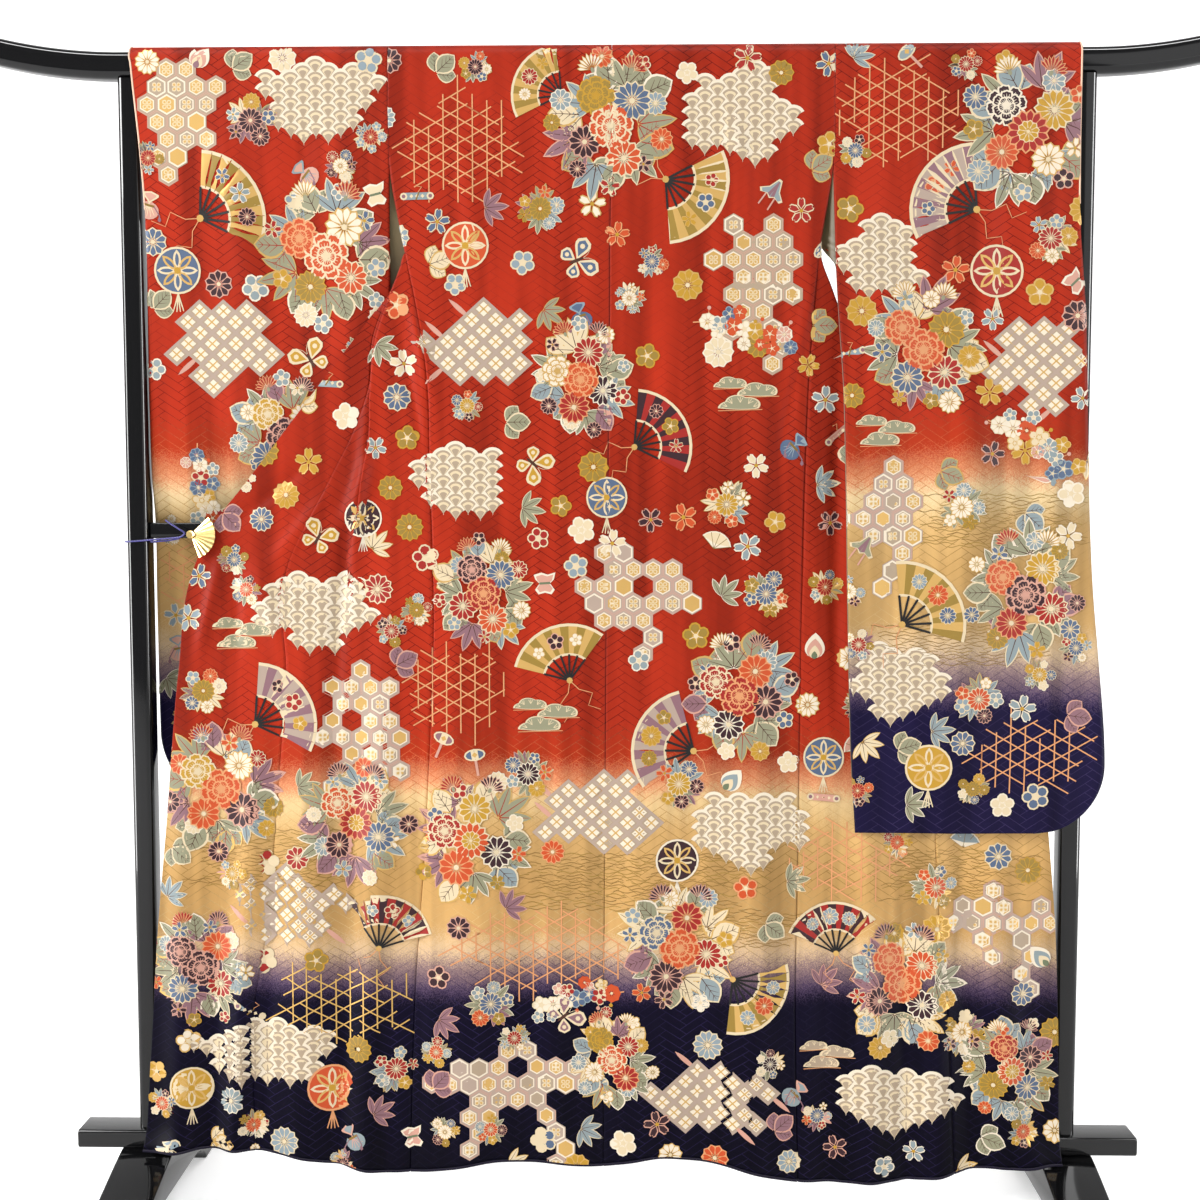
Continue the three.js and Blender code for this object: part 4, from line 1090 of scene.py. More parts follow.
def blob(at, wide, tall, dice, lobes=7, rough=0.12, sides=44):
    """An uneven cloud-like outline."""
    a = np.linspace(0, 2 * math.pi, sides, endpoint=False)
    shift = dice.uniform(0, 6.3)
    r = 1 + rough * np.sin(lobes * a + shift) + rough * 0.6 * np.sin((lobes // 2 + 1) * a + 2 * shift)
    return np.stack([at[0] + wide * r * np.cos(a), at[1] + tall * r * np.sin(a)], -1)


def lattice(at, reach, across, up):
    """Points of one fixed staggered lattice about a place, so that neighbouring patches agree."""
    columns, rows = int(reach / across) + 2, int(reach / up) + 2
    i0, j0 = round(at[0] / across), 2 * round(at[1] / up / 2)
    return np.array([((i0 + i + 0.5 * (j % 2)) * across, (j0 + j) * up) for j in range(-rows, rows + 1)
                     for i in range(-columns, columns + 1)])


def within(outline, points):
    """Which points lie inside a closed outline."""
    x, z = points[:, 0], points[:, 1]
    inside = np.zeros(len(points), bool)
    for (x0, z0), (x1, z1) in zip(outline, np.roll(outline, -1, axis=0)):
        crosses = (z0 > z) != (z1 > z)
        level = x0 + (z - z0) * (x1 - x0) / ((z1 - z0) or 1e-9)
        inside ^= crosses & (x < level)
    return inside


# ------------------------------------------------------------------ flowers and leaves


def kiku(d, at, size, turn, face, edge, eye="cream", petals=14, layer=0.0):
    """An open chrysanthemum."""
    half = math.sin(math.pi / petals) * size * 0.93
    for i in range(petals):
        a = turn + 2 * math.pi * i / petals
        d.fill(placed(petal(0.10 * size, size, half, 0.72), at, a), edge, layer)
        d.fill(placed(petal(0.20 * size, 0.92 * size, half * 0.66, 0.70), at, a), face, layer + 1)
    d.fill(disc(at, size * 0.15, 8), eye, layer + 2)


def side_kiku(d, at, size, turn, face, edge, layer=0.0):
    """A chrysanthemum seen from its side: a fan of slim petals on a small cup."""
    for k in range(9):
        a = turn + math.radians(-64 + 16 * k)
        reach = size * (1.0 - 0.12 * abs(k - 4) / 4)
        d.fill(placed(petal(0.12 * size, reach, size * 0.10, 0.75, 3), at, a), edge, layer)
        d.fill(placed(petal(0.24 * size, reach * 0.93, size * 0.062, 0.75, 3), at, a), face, layer + 1)
    d.fill(disc(at, size * 0.16, 7, 0.7, turn), "sage", layer + 2)


def ume(d, at, size, turn, face, edge, eye="cream", layer=0.0):
    """A plum blossom of five round petals."""
    for i in range(5):
        a = turn + 2 * math.pi * i / 5
        d.fill(disc(away(at, a, size * 0.55), size * 0.43, 9), edge, layer)
        d.fill(disc(away(at, a, size * 0.55), size * 0.31, 8), face, layer + 1)
        d.stroke([away(at, a + 0.6, size * 0.16), away(at, a + 0.6, size * 0.5)], size * 0.06, eye, layer + 2)
    d.fill(disc(at, size * 0.18, 7), eye, layer + 2.5)


def sakura(d, at, size, turn, face, edge, eye="cream", layer=0.0):
    """A cherry blossom of five notched petals."""
    notched = np.array([(0.1, 0), (0.45, 0.30), (0.86, 0.27), (0.98, 0.12), (0.86, 0), (0.98, -0.12),
                        (0.86, -0.27),
                        (0.45, -0.30)]) * size
    for i in range(5):
        a = turn + 2 * math.pi * i / 5
        d.fill(placed(notched, at, a), edge, layer)
        d.fill(placed(notched * (0.86, 0.68) + (0.08 * size, 0), at, a), face, layer + 1)
    d.fill(disc(at, size * 0.15, 7), eye, layer + 2)


def botan(d, at, size, turn, face, edge, layer=0.0):
    """A peony: three tiers of scalloped lobes, each streaked from its root."""
    u = np.linspace(-1, 1, 11)
    for tier, (reach, lobes, shift) in enumerate(((1.0, 8, 0.0), (0.73, 6, 0.35), (0.44, 5, 0.8))):
        wide = math.pi / lobes * 1.12
        rim = (0.93 + 0.07 * np.abs(np.cos(1.5 * math.pi * u))) * (1 - 0.2 * u ** 4) * reach * size
        lobe = np.concatenate([[(0.05 * size, 0)],
                               np.stack([rim * np.cos(wide * u), rim * np.sin(wide * u)], -1)])
        slim = 0.80
        inner = np.concatenate([[(0.16 * size, 0)], np.stack([(rim - 0.075 * size) * np.cos(wide * slim * u),
                                                              (rim - 0.075 * size) * np.sin(wide * slim * u)],
                                                             -1)])
        for i in range(lobes):
            a = turn + shift + 2 * math.pi * i / lobes
            heart = away(at, a, 0.5 * reach * size)
            d.fill(placed(lobe, at, a), edge, layer + 3 * tier, heart)
            d.fill(placed(inner, at, a), face, layer + 3 * tier + 1, heart)
            for k in (-0.45, 0.0, 0.45):
                d.stroke([away(at, a + wide * k, 0.3 * reach * size),
                          away(at, a + wide * k, 0.74 * reach * size)],
                         size * 0.05, edge, layer + 3 * tier + 2, taper=0.35)
    d.fill(disc(at, size * 0.12, 7), edge, layer + 9)


def leaf(d, at, length, turn, face, edge="cream", vein="bark", slim=0.36, layer=0.0):
    """A leaf with its rib and side veins."""
    d.fill(placed(petal(0, length, length * slim, 0.5, 5, 0.8), at, turn), edge, layer)
    d.fill(placed(petal(0.05 * length, 0.95 * length, length * slim * 0.82, 0.5, 5, 0.8), at, turn), face,
           layer + 0.7)
    d.stroke([away(at, turn, 0.04 * length), away(at, turn, 0.86 * length)], max(0.7, length * 0.03), vein,
             layer + 1.4,
             taper=0.4)
    if slim > 0.25:
        for k in (0.3, 0.52, 0.72):
            root = away(at, turn, k * length)
            for side in (-1, 1):
                d.stroke([root, away(root, turn + side * 0.75, length * slim * (1.05 - k * 0.7))],
                         max(0.6, length * 0.02), vein, layer + 1.4, taper=0.4)


def leaves(d, at, size, turn, face, edge="cream", vein="bark", layer=0.0):
    """Three broad leaves on one stalk."""
    for k in (-1, 1, 0):
        leaf(d, away(at, turn + k * 0.9, size * 0.08), size * (0.78 if k else 1.0), turn + k * 0.85, face,
             edge, vein,
             0.40, layer + (0.0 if k else 1.5))


def bamboo(d, at, size, turn, face, edge="white", vein="bark", layer=0.0):
    """A spray of five slim leaves."""
    for i, k in enumerate((-1.25, -0.62, 0.0, 0.62, 1.25)):
        leaf(d, at, size * (1.0 - 0.15 * abs(k)), turn + k, face, edge, vein, 0.17, layer + 0.3 * i)


def twig(d, at, size, turn, dice, layer=0.0):
    """A flowering plum branch: a bent stem with heads, buds and side shoots."""
    dyes = [("yellow", "gold"), ("ash", "white"), ("white", "cream"), ("orange", "orange"), ("pink", "white"),
            ("blue", "pale_blue"), ("cream", "gold"), ("crimson", "cream")]
    spot, a = at, turn
    for i in range(7):
        a += dice.uniform(-0.5, 0.5) - 0.25 * (a - turn)
        ahead = away(spot, a, size * dice.uniform(0.12, 0.17))
        d.stroke([spot, ahead], 1.8 - 0.15 * i, "peach", layer)
        side = a + dice.choice((-1, 1)) * dice.uniform(0.8, 1.3)
        for place, big in ((ahead, 0.105), (away(ahead, side, size * 0.16), 0.085)):
            face, edge = dice.choice(dyes)
            radius = size * big * dice.uniform(0.85, 1.2)
            if dice.random() < 0.7:
                ume(d, place, radius, dice.uniform(0, 6), face, edge, "cream", layer + 1)
            else:
                kiku(d, place, radius, dice.uniform(0, 6), face, edge, "cream", 8, layer + 1)
        shoot = away(ahead, side + 2.2, size * 0.15)
        d.stroke([ahead, shoot], 1.0, "peach", layer)
        d.fill(disc(shoot, 3.0, 7), dice.choice(("pink", "white", "yellow", "orange")), layer + 1)
        spot = ahead


# ------------------------------------------------------------------ grounds, fans, balls and butterflies


def folding_fan(d, at, size, turn, dice, layer=0.0):
    """An open fan: pleats in two dyes inside a gold rim, black ribs, blossoms on the leaf and a cord."""
    face, shade = dice.choice((("crimson", "maroon"), ("olive", "gold"), ("blue", "pale_blue"),
                               ("mauve", "lilac")))
    pivot = away(at, turn, -0.55 * size)
    edges = turn + np.radians(np.linspace(-56, 56, 13))
    for k, (a, b) in enumerate(zip(edges, edges[1:])):
        for near, far, dye, step in ((0.44, 1.0, "cream", 0), (0.48, 0.95, shade if k % 2 else face, 1)):
            d.fill([away(pivot, a, near * size), away(pivot, a, far * size), away(pivot, b, far * size),
                    away(pivot, b, near * size)], dye, layer + step)
    for a in edges[::2]:
        d.stroke([away(pivot, a, 0.04 * size), away(pivot, a, 0.46 * size)], size * 0.035, "black", layer + 2)
    for k, lean in enumerate((-0.5, 0.0, 0.5)):
        small_flower(d, away(pivot, turn + lean, 0.72 * size), size * (0.13, 0.16, 0.12)[k], dice, layer + 2)
    d.fill(disc(pivot, size * 0.055, 8), "gold", layer + 3)
    for side in (-1, 1):
        loop = [(0, 0), (-0.20, 0.10 * side), (-0.34, 0.30 * side), (-0.52, 0.16 * side),
                (-0.66, 0.34 * side)]
        d.stroke(placed(loop, pivot, turn, size), 1.4, "peach", layer + 1, taper=0.6)


def temari(d, at, size, turn, dice, layer=0.0):
    """A ball wound with threads: a star of eight spindles on a banded ground, with a tassel under it."""
    face, edge = dice.choice(HEADS)
    d.fill(disc(at, size, 24), edge, layer)
    d.fill(disc(at, size * 0.91, 24), face, layer + 1)
    for k in range(8):
        a = turn + math.pi * k / 4
        d.fill(placed(petal(0.04, 0.88, 0.17, 0.5), at, a, size), "gold" if k % 2 else "cream", layer + 2)
        d.fill(placed(petal(0.18, 0.74, 0.08, 0.5), at, a, size), face, layer + 3)
    d.fill(disc(at, size * 0.15, 8), "yellow", layer + 4)
    knot = away(at, -math.pi / 2, size)
    for k in (-0.3, -0.1, 0.1, 0.3):
        d.stroke([knot, away(knot, k - math.pi / 2, size * 0.75)], size * 0.07, edge, layer + 1, taper=0.6)


def butterfly(d, at, size, turn, dice, layer=0.0):
    """A butterfly: two pairs of bordered wings with an eye in each, a slim body and feelers."""
    face, edge = dice.choice((("mauve", "cream"), ("ash", "white"), ("yellow", "cream"), ("pink", "white"),
                              ("blue", "cream")))
    for side in (-1, 1):
        for lean, reach, half in ((0.80, 0.58, 0.19), (2.20, 0.42, 0.16)):
            a = turn + side * lean
            d.fill(placed(petal(0.02, reach, half, 0.68, 5, 0.6), at, a, size), edge, layer)
            d.fill(placed(petal(0.10, reach * 0.88, half * 0.66, 0.70, 4, 0.6), at, a, size), face, layer + 1)
            d.fill(disc(away(at, a, reach * 0.62 * size), half * 0.32 * size, 8), edge, layer + 2)
        feeler = placed([(0.16, 0.0), (0.30, 0.05 * side), (0.42, 0.16 * side)], at, turn, size)
        d.stroke(feeler, 0.8, edge, layer + 1, taper=0.5)
    d.fill(placed(petal(-0.20, 0.20, 0.04, 0.5), at, turn, size), "bark", layer + 3)


def pine(d, at, size, dice, face="sage", edge="cream", layer=0.0):
    """Three scalloped banks of pine needles, one over another, with a thin line of ground."""
    for k, (dx, dz, share) in enumerate(((-0.30, 0.20, 0.66), (0.22, 0.05, 0.80), (-0.12, -0.20, 0.84))):
        wide, tall = size * share * 0.5, size * share * 0.30
        spot = (at[0] + dx * size, at[1] + dz * size)
        a = np.linspace(0, math.pi, 41)
        r = 0.84 + 0.17 * np.abs(np.sin(2.5 * a))
        dome = np.stack([spot[0] + wide * r * np.cos(a), spot[1] + tall * r * np.sin(a)], -1)
        low = [(spot[0] + wide * u, spot[1] - tall * 0.10 * (1 - u * u)) for u in (-0.7, -0.35, 0.0, 0.35,
                                                                                   0.7)]
        shape = np.concatenate([dome, low])
        middle = (spot[0], spot[1] + tall * 0.3)
        d.fill(shape, edge, layer + 2 * k, middle)
        d.fill(middle + (shape - middle) * 0.90, face, layer + 2 * k + 0.7, middle)
        for i in range(5):
            b = math.radians(18 + 36 * i)
            heart = (spot[0] + wide * 0.62 * math.cos(b), spot[1] + tall * 0.42 * math.sin(b))
            for c in (-0.5, 0.0, 0.5):
                d.stroke([heart, away(heart, b + c, tall * 0.42)], 0.8, edge, layer + 2 * k + 1.4)
        d.stroke([(spot[0] - wide, spot[1] - tall * 0.2), (spot[0] + wide, spot[1] - tall * 0.1)], 1.1,
                 "peach",
                 layer + 2 * k + 1.4)


def kikko(d, at, wide, tall, dice, ground="stone", layer=0.0):
    """A tortoiseshell ground: bordered hexagons, most with a four-petalled flower and some plain."""
    cell = 16.5
    across, up = cell * 1.732, cell * 1.5
    edge = blob(at, wide, tall, dice, 7, 0.22)
    spots = lattice(at, max(wide, tall) * 1.4, across, up)
    picked = list(spots[within(edge, spots)])
    low = sorted(picked, key=lambda spot: spot[1])[:max(4, len(picked) // 5)]
    for spot in dice.sample(low, min(3, len(low))):
        for k in range(dice.randint(1, 3)):
            spot = (spot[0] + dice.choice((-0.5, 0.5)) * across, spot[1] - up)
            picked.append(spot)
    hexagon = disc((0, 0), 1.0, 6, 1.0, math.pi / 6)
    for spot in d.free_cells(picked):
        kind = dice.random()
        if kind < 0.06:
            continue
        d.fill(placed(hexagon, spot, 0, cell * 1.0), ground, layer)
        if kind < 0.24:
            d.fill(placed(hexagon, spot, 0, cell * 0.90), "white", layer + 1)
            d.fill(placed(hexagon, spot, 0, cell * 0.74), dice.choice((ground, "gold", "stone")), layer + 1.6)
            if dice.random() < 0.5:
                continue
        else:
            d.stroke(placed(hexagon, spot, 0, cell * 0.93), 0.8, "pink", layer + 0.7, closed=True)
            d.fill(placed(hexagon, spot, 0, cell * 0.72), "white", layer + 1)
            d.fill(placed(hexagon, spot, 0, cell * 0.60), dice.choice(("gold", "stone", "gold")), layer + 1.6)
        for k in range(4):
            a = math.pi / 4 + k * math.pi / 2
            d.fill(placed(petal(0.03, 0.50, 0.20, 0.6, 3), spot, a, cell), "cream", layer + 2.2)
            d.fill(placed(petal(0.12, 0.40, 0.11, 0.6, 2), spot, a, cell), "gold", layer + 2.7)


def diamonds(d, at, wide, tall, dice, layer=0.0):
    """A woven ground of small squares in fours on slanting strips, its strip ends left loose."""
    cell = 30.0
    edge = blob(at, wide, tall, dice, 5, 0.16)
    square = disc((0, 0), 1.0, 4, 0.9)
    spots = lattice(at, max(wide, tall) * 1.4, cell * 1.16, cell * 0.52)
    picked = spots[within(edge, spots)]
    for spot in d.free_cells(picked):
        d.fill(placed(square, spot, 0, cell * 0.64), "lilac", layer)
        d.fill(placed(square, spot, 0, cell * 0.47), "stone", layer + 0.8)
        for k in range(4):
            a = k * math.pi / 2
            d.fill(placed(square, away(spot, a, cell * 0.20), 0, cell * 0.17), "white", layer + 1.5)
        for a in (0.73, -0.73):
            across = petal(-0.40, 0.40, 0.035, 0.5, 3)
            d.fill(placed(across, spot, a, cell), "gold", layer + 1.8)
        if dice.random() < 0.22:
            way = dice.choice((0.73, -0.73, math.pi - 0.73, math.pi + 0.73))
            if np.linalg.norm(picked - away(spot, way, cell * 0.78), axis=1).min() > cell * 0.3:
                d.fill(placed(petal(0.1, 1.5, 0.12, 0.5, 5, 0.7), spot, way, cell), "pink", layer - 0.6)


def kagome(d, at, wide, tall, dice, dye="peach", layer=0.0):
    """Basket-eye lattice: three families of slim lines that miss each other's crossings, with ragged ends."""
    gap = 21.0
    edge = blob(at, wide, tall, dice, 6, 0.14)
    reach = max(wide, tall) * 1.4
    for a, shift in ((math.pi / 2, 0.0), (math.pi / 6, 0.0), (-math.pi / 6, 0.5)):
        along = np.array([math.cos(a), math.sin(a)])
        across = np.array([-along[1], along[0]])
        for k in range(-int(reach / gap), int(reach / gap) + 1):
            home = np.array(at) - across * (np.dot(at, across) % gap)
            origin = home + across * gap * (k + shift)
            steps = np.arange(-reach, reach, 9.0)
            line = origin + steps[:, None] * along
            inside = within(edge, line)
            runs = np.flatnonzero(np.diff(np.concatenate([[0], inside.astype(int), [0]])))
            for first, last in zip(runs[::2], runs[1::2]):
                first, last = max(0, first - dice.randint(0, 3)), last + dice.randint(-1, 3)
                if last - first > 1:
                    d.stroke(line[first:last], 1.9, dye, layer)


def seigaiha(d, at, wide, tall, dice, rings=("white", "stone", "cream", "stone"), layer=0.0):
    """Wave scales, each row over the one above."""
    scale = 18.0
    edge = blob(at, wide, tall, dice, 5, 0.12)
    lean = math.atan2(-0.5, 1.0)
    spots = lattice(at, max(wide, tall) * 1.4, 2 * scale, scale * 0.5)
    for spot in d.free_cells(spots[within(edge, spots)]):
        for k, dye in enumerate(rings):
            r = 1.0 - (0.0, 0.25, 0.42, 0.62)[k]
            start = lean + math.acos((r * r + 0.25) / (2.236 * r))
            a = np.linspace(start, math.pi - start, 9)
            arc = np.stack([r * np.cos(a), r * np.sin(a)], -1)
            side = [(-1 + math.cos(t), -0.5 + math.sin(t)) for t in (0.75, 0.35)]
            foot = [(-0.10 * r, -0.25), (0.0, -0.4), (0.10 * r, -0.25)]
            if k == 0:
                foot = side + [(0.0, -0.5)] + [(-x, z) for x, z in side[::-1]]
            d.fill(placed(np.concatenate([arc, foot]), spot, 0, scale), dye, layer + 0.5 * k,
                   (spot[0], spot[1] + scale * 0.12))


# ------------------------------------------------------------------ treasures


def jewel(d, at, size, turn, dice, layer=0.0):
    """A drop made of nested drops that share their foot."""
    foot = away(at, turn - math.pi / 2, size * 0.5)
    dyes = ("white", dice.choice(("pale_blue", "ash", "pink")), "cream",
            dice.choice(("moss", "mauve", "deep_gold")))
    for k, (share, dye) in enumerate(zip((1.0, 0.78, 0.52, 0.30), dyes)):
        d.fill(placed(petal(0, 1.2, 0.46, 0.40, 7, 0.8), foot, turn + math.pi / 2, size * share), dye,
               layer + k)


def pouch(d, at, size, turn, dice, layer=0.0):
    face, trim = dice.choice((("pink", "cream"), ("blue", "pale_blue"), ("ash", "pink"), ("pink", "ash")))
    up = turn + math.pi / 2
    d.fill(disc(away(at, up, -size * 0.22), size * 0.5, 14, 0.8, turn), face, layer)
    for k in range(-2, 3):
        d.stroke([away(at, up, size * 0.08), away(at, up + math.pi + k * 0.35, size * 0.5)], size * 0.06,
                 trim, layer + 1, taper=0.3)
    d.fill(placed(petal(0, 0.55, 0.38, 0.75, 5, 0.5), away(at, up, size * 0.08), up, size), trim, layer + 1)
    d.fill(placed(petal(0.1, 0.48, 0.26, 0.75, 5, 0.5), away(at, up, size * 0.08), up, size), face, layer + 2)
    d.stroke([away(at, turn, -size * 0.26), away(at, turn, size * 0.26)], size * 0.1, "deep_gold", layer + 3)
    for side in (-1, 1):
        root = away(at, turn, side * size * 0.24)
        d.stroke([root, away(root, -math.pi / 2 + side * 0.5, size * 0.5)], size * 0.05, "mauve", layer + 3)
        d.fill(placed(petal(0, 0.3, 0.08, 0.7, 3), away(root, -math.pi / 2 + side * 0.5, size * 0.45),
                      -math.pi / 2, size),
               "mauve", layer + 3)


def straw_hat(d, at, size, turn, dice, layer=0.0):
    up = turn + math.pi / 2
    brim = np.array([(-0.62, -0.16), (-0.5, -0.3), (-0.2, -0.2), (0.0, -0.34), (0.2, -0.2), (0.5, -0.3),
                     (0.62, -0.16), (0.28, 0.12),
                     (0.08, 0.62), (-0.08, 0.62), (-0.28, 0.12)])
    d.fill(placed(brim, at, turn, size), "cream", layer)
    d.fill(placed(brim * 0.84, at, turn, size), dice.choice(("ash", "pink", "sage")), layer + 1)
    for k in (-0.5, -0.2, 0.2, 0.5):
        d.stroke([away(at, up, size * 0.5), away(at, up + math.pi + k * 1.2, size * 0.24)], size * 0.05,
                 "mauve", layer + 2, taper=1.6)
    for side in (-1, 1):
        d.stroke([away(at, turn, side * size * 0.22),
                  away(at, -math.pi / 2 + side * 0.3 + turn, size * 0.85)], size * 0.07, "pink", layer - 0.5)


def weight(d, at, size, turn, dice, layer=0.0):
    hour = np.array([(-0.5, 0.4), (-0.15, 0.5), (0.15, 0.4), (0.5, 0.5), (0.42, 0.18), (0.24, 0.0),
                     (0.45, -0.3), (0.3, -0.5),
                     (0.0, -0.42), (-0.3, -0.5), (-0.45, -0.28), (-0.24, 0.0), (-0.42, 0.18)])
    d.fill(placed(hour, at, turn, size), "white", layer)
    d.fill(placed(hour * 0.8, at, turn, size), dice.choice(("cream", "pink")), layer + 1)
    d.stroke(placed([(-0.25, 0.0), (0.25, 0.02)], at, turn, size), size * 0.1, "moss", layer + 2)


def scroll(d, at, size, turn, dice, layer=0.0):
    d.fill(placed([(-0.6, -0.16), (0.6, -0.16), (0.6, 0.16), (-0.6, 0.16)], at, turn, size),
           dice.choice(("pink", "pale_blue", "ash")), layer)
    for k in (-0.6, 0.6):
        d.fill(disc(placed([(k, 0)], at, turn, size)[0], size * 0.17, 8), "cream", layer + 1)
        d.fill(disc(placed([(k, 0)], at, turn, size)[0], size * 0.09, 7), "mauve", layer + 2)
    for k in (-0.25, 0.0, 0.25):
        d.fill(placed(disc((k, 0), 0.09, 4), at, turn, size), "cream", layer + 1)
    d.stroke(placed([(-0.05, -0.17), (0.1, 0.17)], at, turn, size), size * 0.06, "deep_gold", layer + 2)
    d.stroke(placed([(0.05, 0.17), (0.22, 0.4), (0.0, 0.45)], at, turn, size), size * 0.035, "peach",
             layer + 2)


def mallet(d, at, size, turn, dice, layer=0.0):
    d.stroke(placed([(0, -0.75), (0, 0.1)], at, turn, size), size * 0.12, "pink", layer)
    d.fill(placed(disc((0, 0.22), 0.5, 12, 0.56), at, turn, size), "cream", layer + 1)
    d.fill(placed(disc((0, 0.22), 0.42, 12, 0.5), at, turn, size), dice.choice(("ash", "blue", "mauve")),
           layer + 2)
    d.fill(placed([(-0.16, 0.0), (0.16, 0.0), (0.16, 0.44), (-0.16, 0.44)], at, turn, size), "cream",
           layer + 3)
    d.fill(placed(disc((0, 0.22), 0.13, 4), at, turn, size), "gold", layer + 4)


def fan(d, at, size, turn, dice, layer=0.0):
    face = dice.choice(("pink", "cream", "ash"))
    a = np.radians(np.linspace(28, 152, 9))
    d.fill(placed(np.concatenate([[(0, 0)], np.stack([np.cos(a), np.sin(a)], -1)]), at, turn, size * 0.8),
           "white", layer, away(at, turn + math.pi / 2, size * 0.4))
    d.fill(placed(np.concatenate([[(0, 0.3)], np.stack([np.cos(a), np.sin(a)], -1) * 0.93]), at, turn,
                  size * 0.8), face, layer + 1, away(at, turn + math.pi / 2, size * 0.5))
    for b in a[::2]:
        d.stroke([at, away(at, turn + b, size * 0.76)], 0.8, "deep_gold", layer + 2)


def clove(d, at, size, turn, dice, layer=0.0):
    d.fill(placed(petal(-0.7, 0.5, 0.13, 0.75, 5, 0.8), at, turn, size), "white", layer)
    d.fill(placed(petal(-0.6, 0.42, 0.085, 0.75, 5, 0.8), at, turn, size), "pink", layer + 1)
    for k in (-0.7, 0.0, 0.7):
        d.fill(placed(petal(0, 0.24, 0.09, 0.6, 3), away(at, turn, size * 0.46), turn + k, size), "ash",
               layer + 2)


TREASURES = (jewel, pouch, straw_hat, weight, scroll, mallet, fan, clove)


# ------------------------------------------------------------------ groups

HEADS = [("crimson", "peach"), ("maroon", "pink"), ("orange", "peach"), ("crimson", "cream"),
         ("maroon", "white"),
         ("blue", "cream"), ("olive", "yellow"), ("yellow", "cream"), ("white", "gold"), ("orange", "cream")]
SMALL = [("blue", "cream"), ("yellow", "gold"), ("orange", "peach"), ("white", "gold"), ("crimson", "cream"),
         ("ash", "white"), ("maroon", "pink"), ("olive", "yellow"), ("cream", "white"),
         ("pale_blue", "cream")]
FOLIAGE = [("sage", "cream", "bark"), ("mauve", "pink", "bark"), ("ash", "cream", "bark"),
           ("cream", "gold", "bark"),
           ("sage", "gold", "crimson"), ("sage", "white", "bark")]


def small_flower(d, at, size, dice, layer=0.0):
    face, edge = dice.choice(SMALL)
    kind = dice.random()
    turn = dice.uniform(0, 6)
    if kind < 0.42:
        kiku(d, at, size * 1.1, turn, face, edge, "cream", dice.choice((10, 12)), layer)
    elif kind < 0.75:
        ume(d, at, size, turn, face, edge, "cream", layer)
    else:
        sakura(d, at, size, turn, face, edge, "yellow", layer)


def bouquet(d, at, size, dice, layer=0.0):
    """A tall heap of flower heads over broad leaves and sprays, with buds at its top."""
    shift = dice.uniform(0, 1)
    tall = 1.18

    def around(a, share):
        return (at[0] + math.cos(a) * size * share, at[1] + math.sin(a) * size * share * tall)

    for i in range(12):
        a = shift + 2 * math.pi * i / 12 + dice.uniform(-0.15, 0.15)
        face, edge, vein = dice.choice(FOLIAGE)
        root = around(a, dice.uniform(0.40, 0.58))
        if i % 2:
            leaves(d, root, size * dice.uniform(0.44, 0.56), a + dice.uniform(-0.3, 0.3), face, edge, vein,
                   layer)
        else:
            bamboo(d, root, size * dice.uniform(0.50, 0.66), a + dice.uniform(-0.3, 0.3), face, edge, vein,
                   layer)
    for i in range(9):
        a = shift + 0.3 + 2 * math.pi * i / 9 + dice.uniform(-0.2, 0.2)
        small_flower(d, around(a, dice.uniform(0.66, 0.95)), size * dice.uniform(0.13, 0.18), dice, layer + 4)
    for a in (1.15, 1.95):
        face, edge = dice.choice((("crimson", "peach"), ("maroon", "pink"), ("white", "gold")))
        side_kiku(d, around(a, 0.78), size * 0.28, a, face, edge, layer + 5)
    picks = dice.sample(HEADS, 5)
    for k in range(4):
        a = shift + 0.5 + 2 * math.pi * k / 4 + dice.uniform(-0.25, 0.25)
        face, edge = picks[k]
        spot = around(a, 0.46)
        if k == 1:
            botan(d, spot, size * 0.31, dice.uniform(0, 1), face, edge, layer + 6)
        else:
            kiku(d, spot, size * dice.uniform(0.25, 0.32), dice.uniform(0, 1), face, edge, "cream",
                 dice.choice((12, 14)),
                 layer + 7)
    face, edge = dice.choice((("crimson", "peach"), ("maroon", "pink"), ("orange", "peach"),
                              ("orange", "cream")))
    if dice.random() < 0.5:
        botan(d, at, size * 0.36, shift, face, edge, layer + 8)
    else:
        kiku(d, at, size * 0.33, shift, face, edge, "yellow", 14, layer + 8)
        kiku(d, at, size * 0.17, shift, "yellow", "cream", "cream", 10, layer + 10)


def spray(d, at, size, dice, layer=0.0):
    """A small loose group: leaves, a head and three or four blossoms."""
    for k in range(4):
        face, edge, vein = dice.choice(FOLIAGE)
        a = dice.uniform(0, 6.3)
        bamboo(d, away(at, a, size * 0.25), size * 0.6, a, face, edge, vein, layer)
    for k in range(5):
        a = 2 * math.pi * k / 5 + dice.uniform(-0.3, 0.3)
        small_flower(d, away(at, a, size * 0.55), size * dice.uniform(0.2, 0.28), dice, layer + 3)
    face, edge = dice.choice(HEADS)
    kiku(d, at, size * 0.4, dice.uniform(0, 1), face, edge, "cream", 14, layer + 5)


def mist(d, at, wide, tall, dice, layer=0.0):
    """Close level rows of short wavering threads, thinning out at their ends."""
    for k in range(int(2 * tall / 4.6)):
        z = at[1] - tall + 4.6 * k
        x = at[0] - wide * dice.uniform(0.55, 1.0)
        while x < at[0] + wide * dice.uniform(0.5, 1.0):
            length = dice.uniform(24, 80)
            t = np.linspace(0, 1, max(3, int(length / 4)))
            phase = dice.uniform(0, 6)
            line = np.stack([x + length * t, z + 1.5 * np.sin(phase + length * t / 4.2)], -1)
            d.stroke(line, 0.8, dice.choice(("deep_gold", "deep_gold", "olive")), layer - 1)
            x += length + dice.uniform(3, 16)


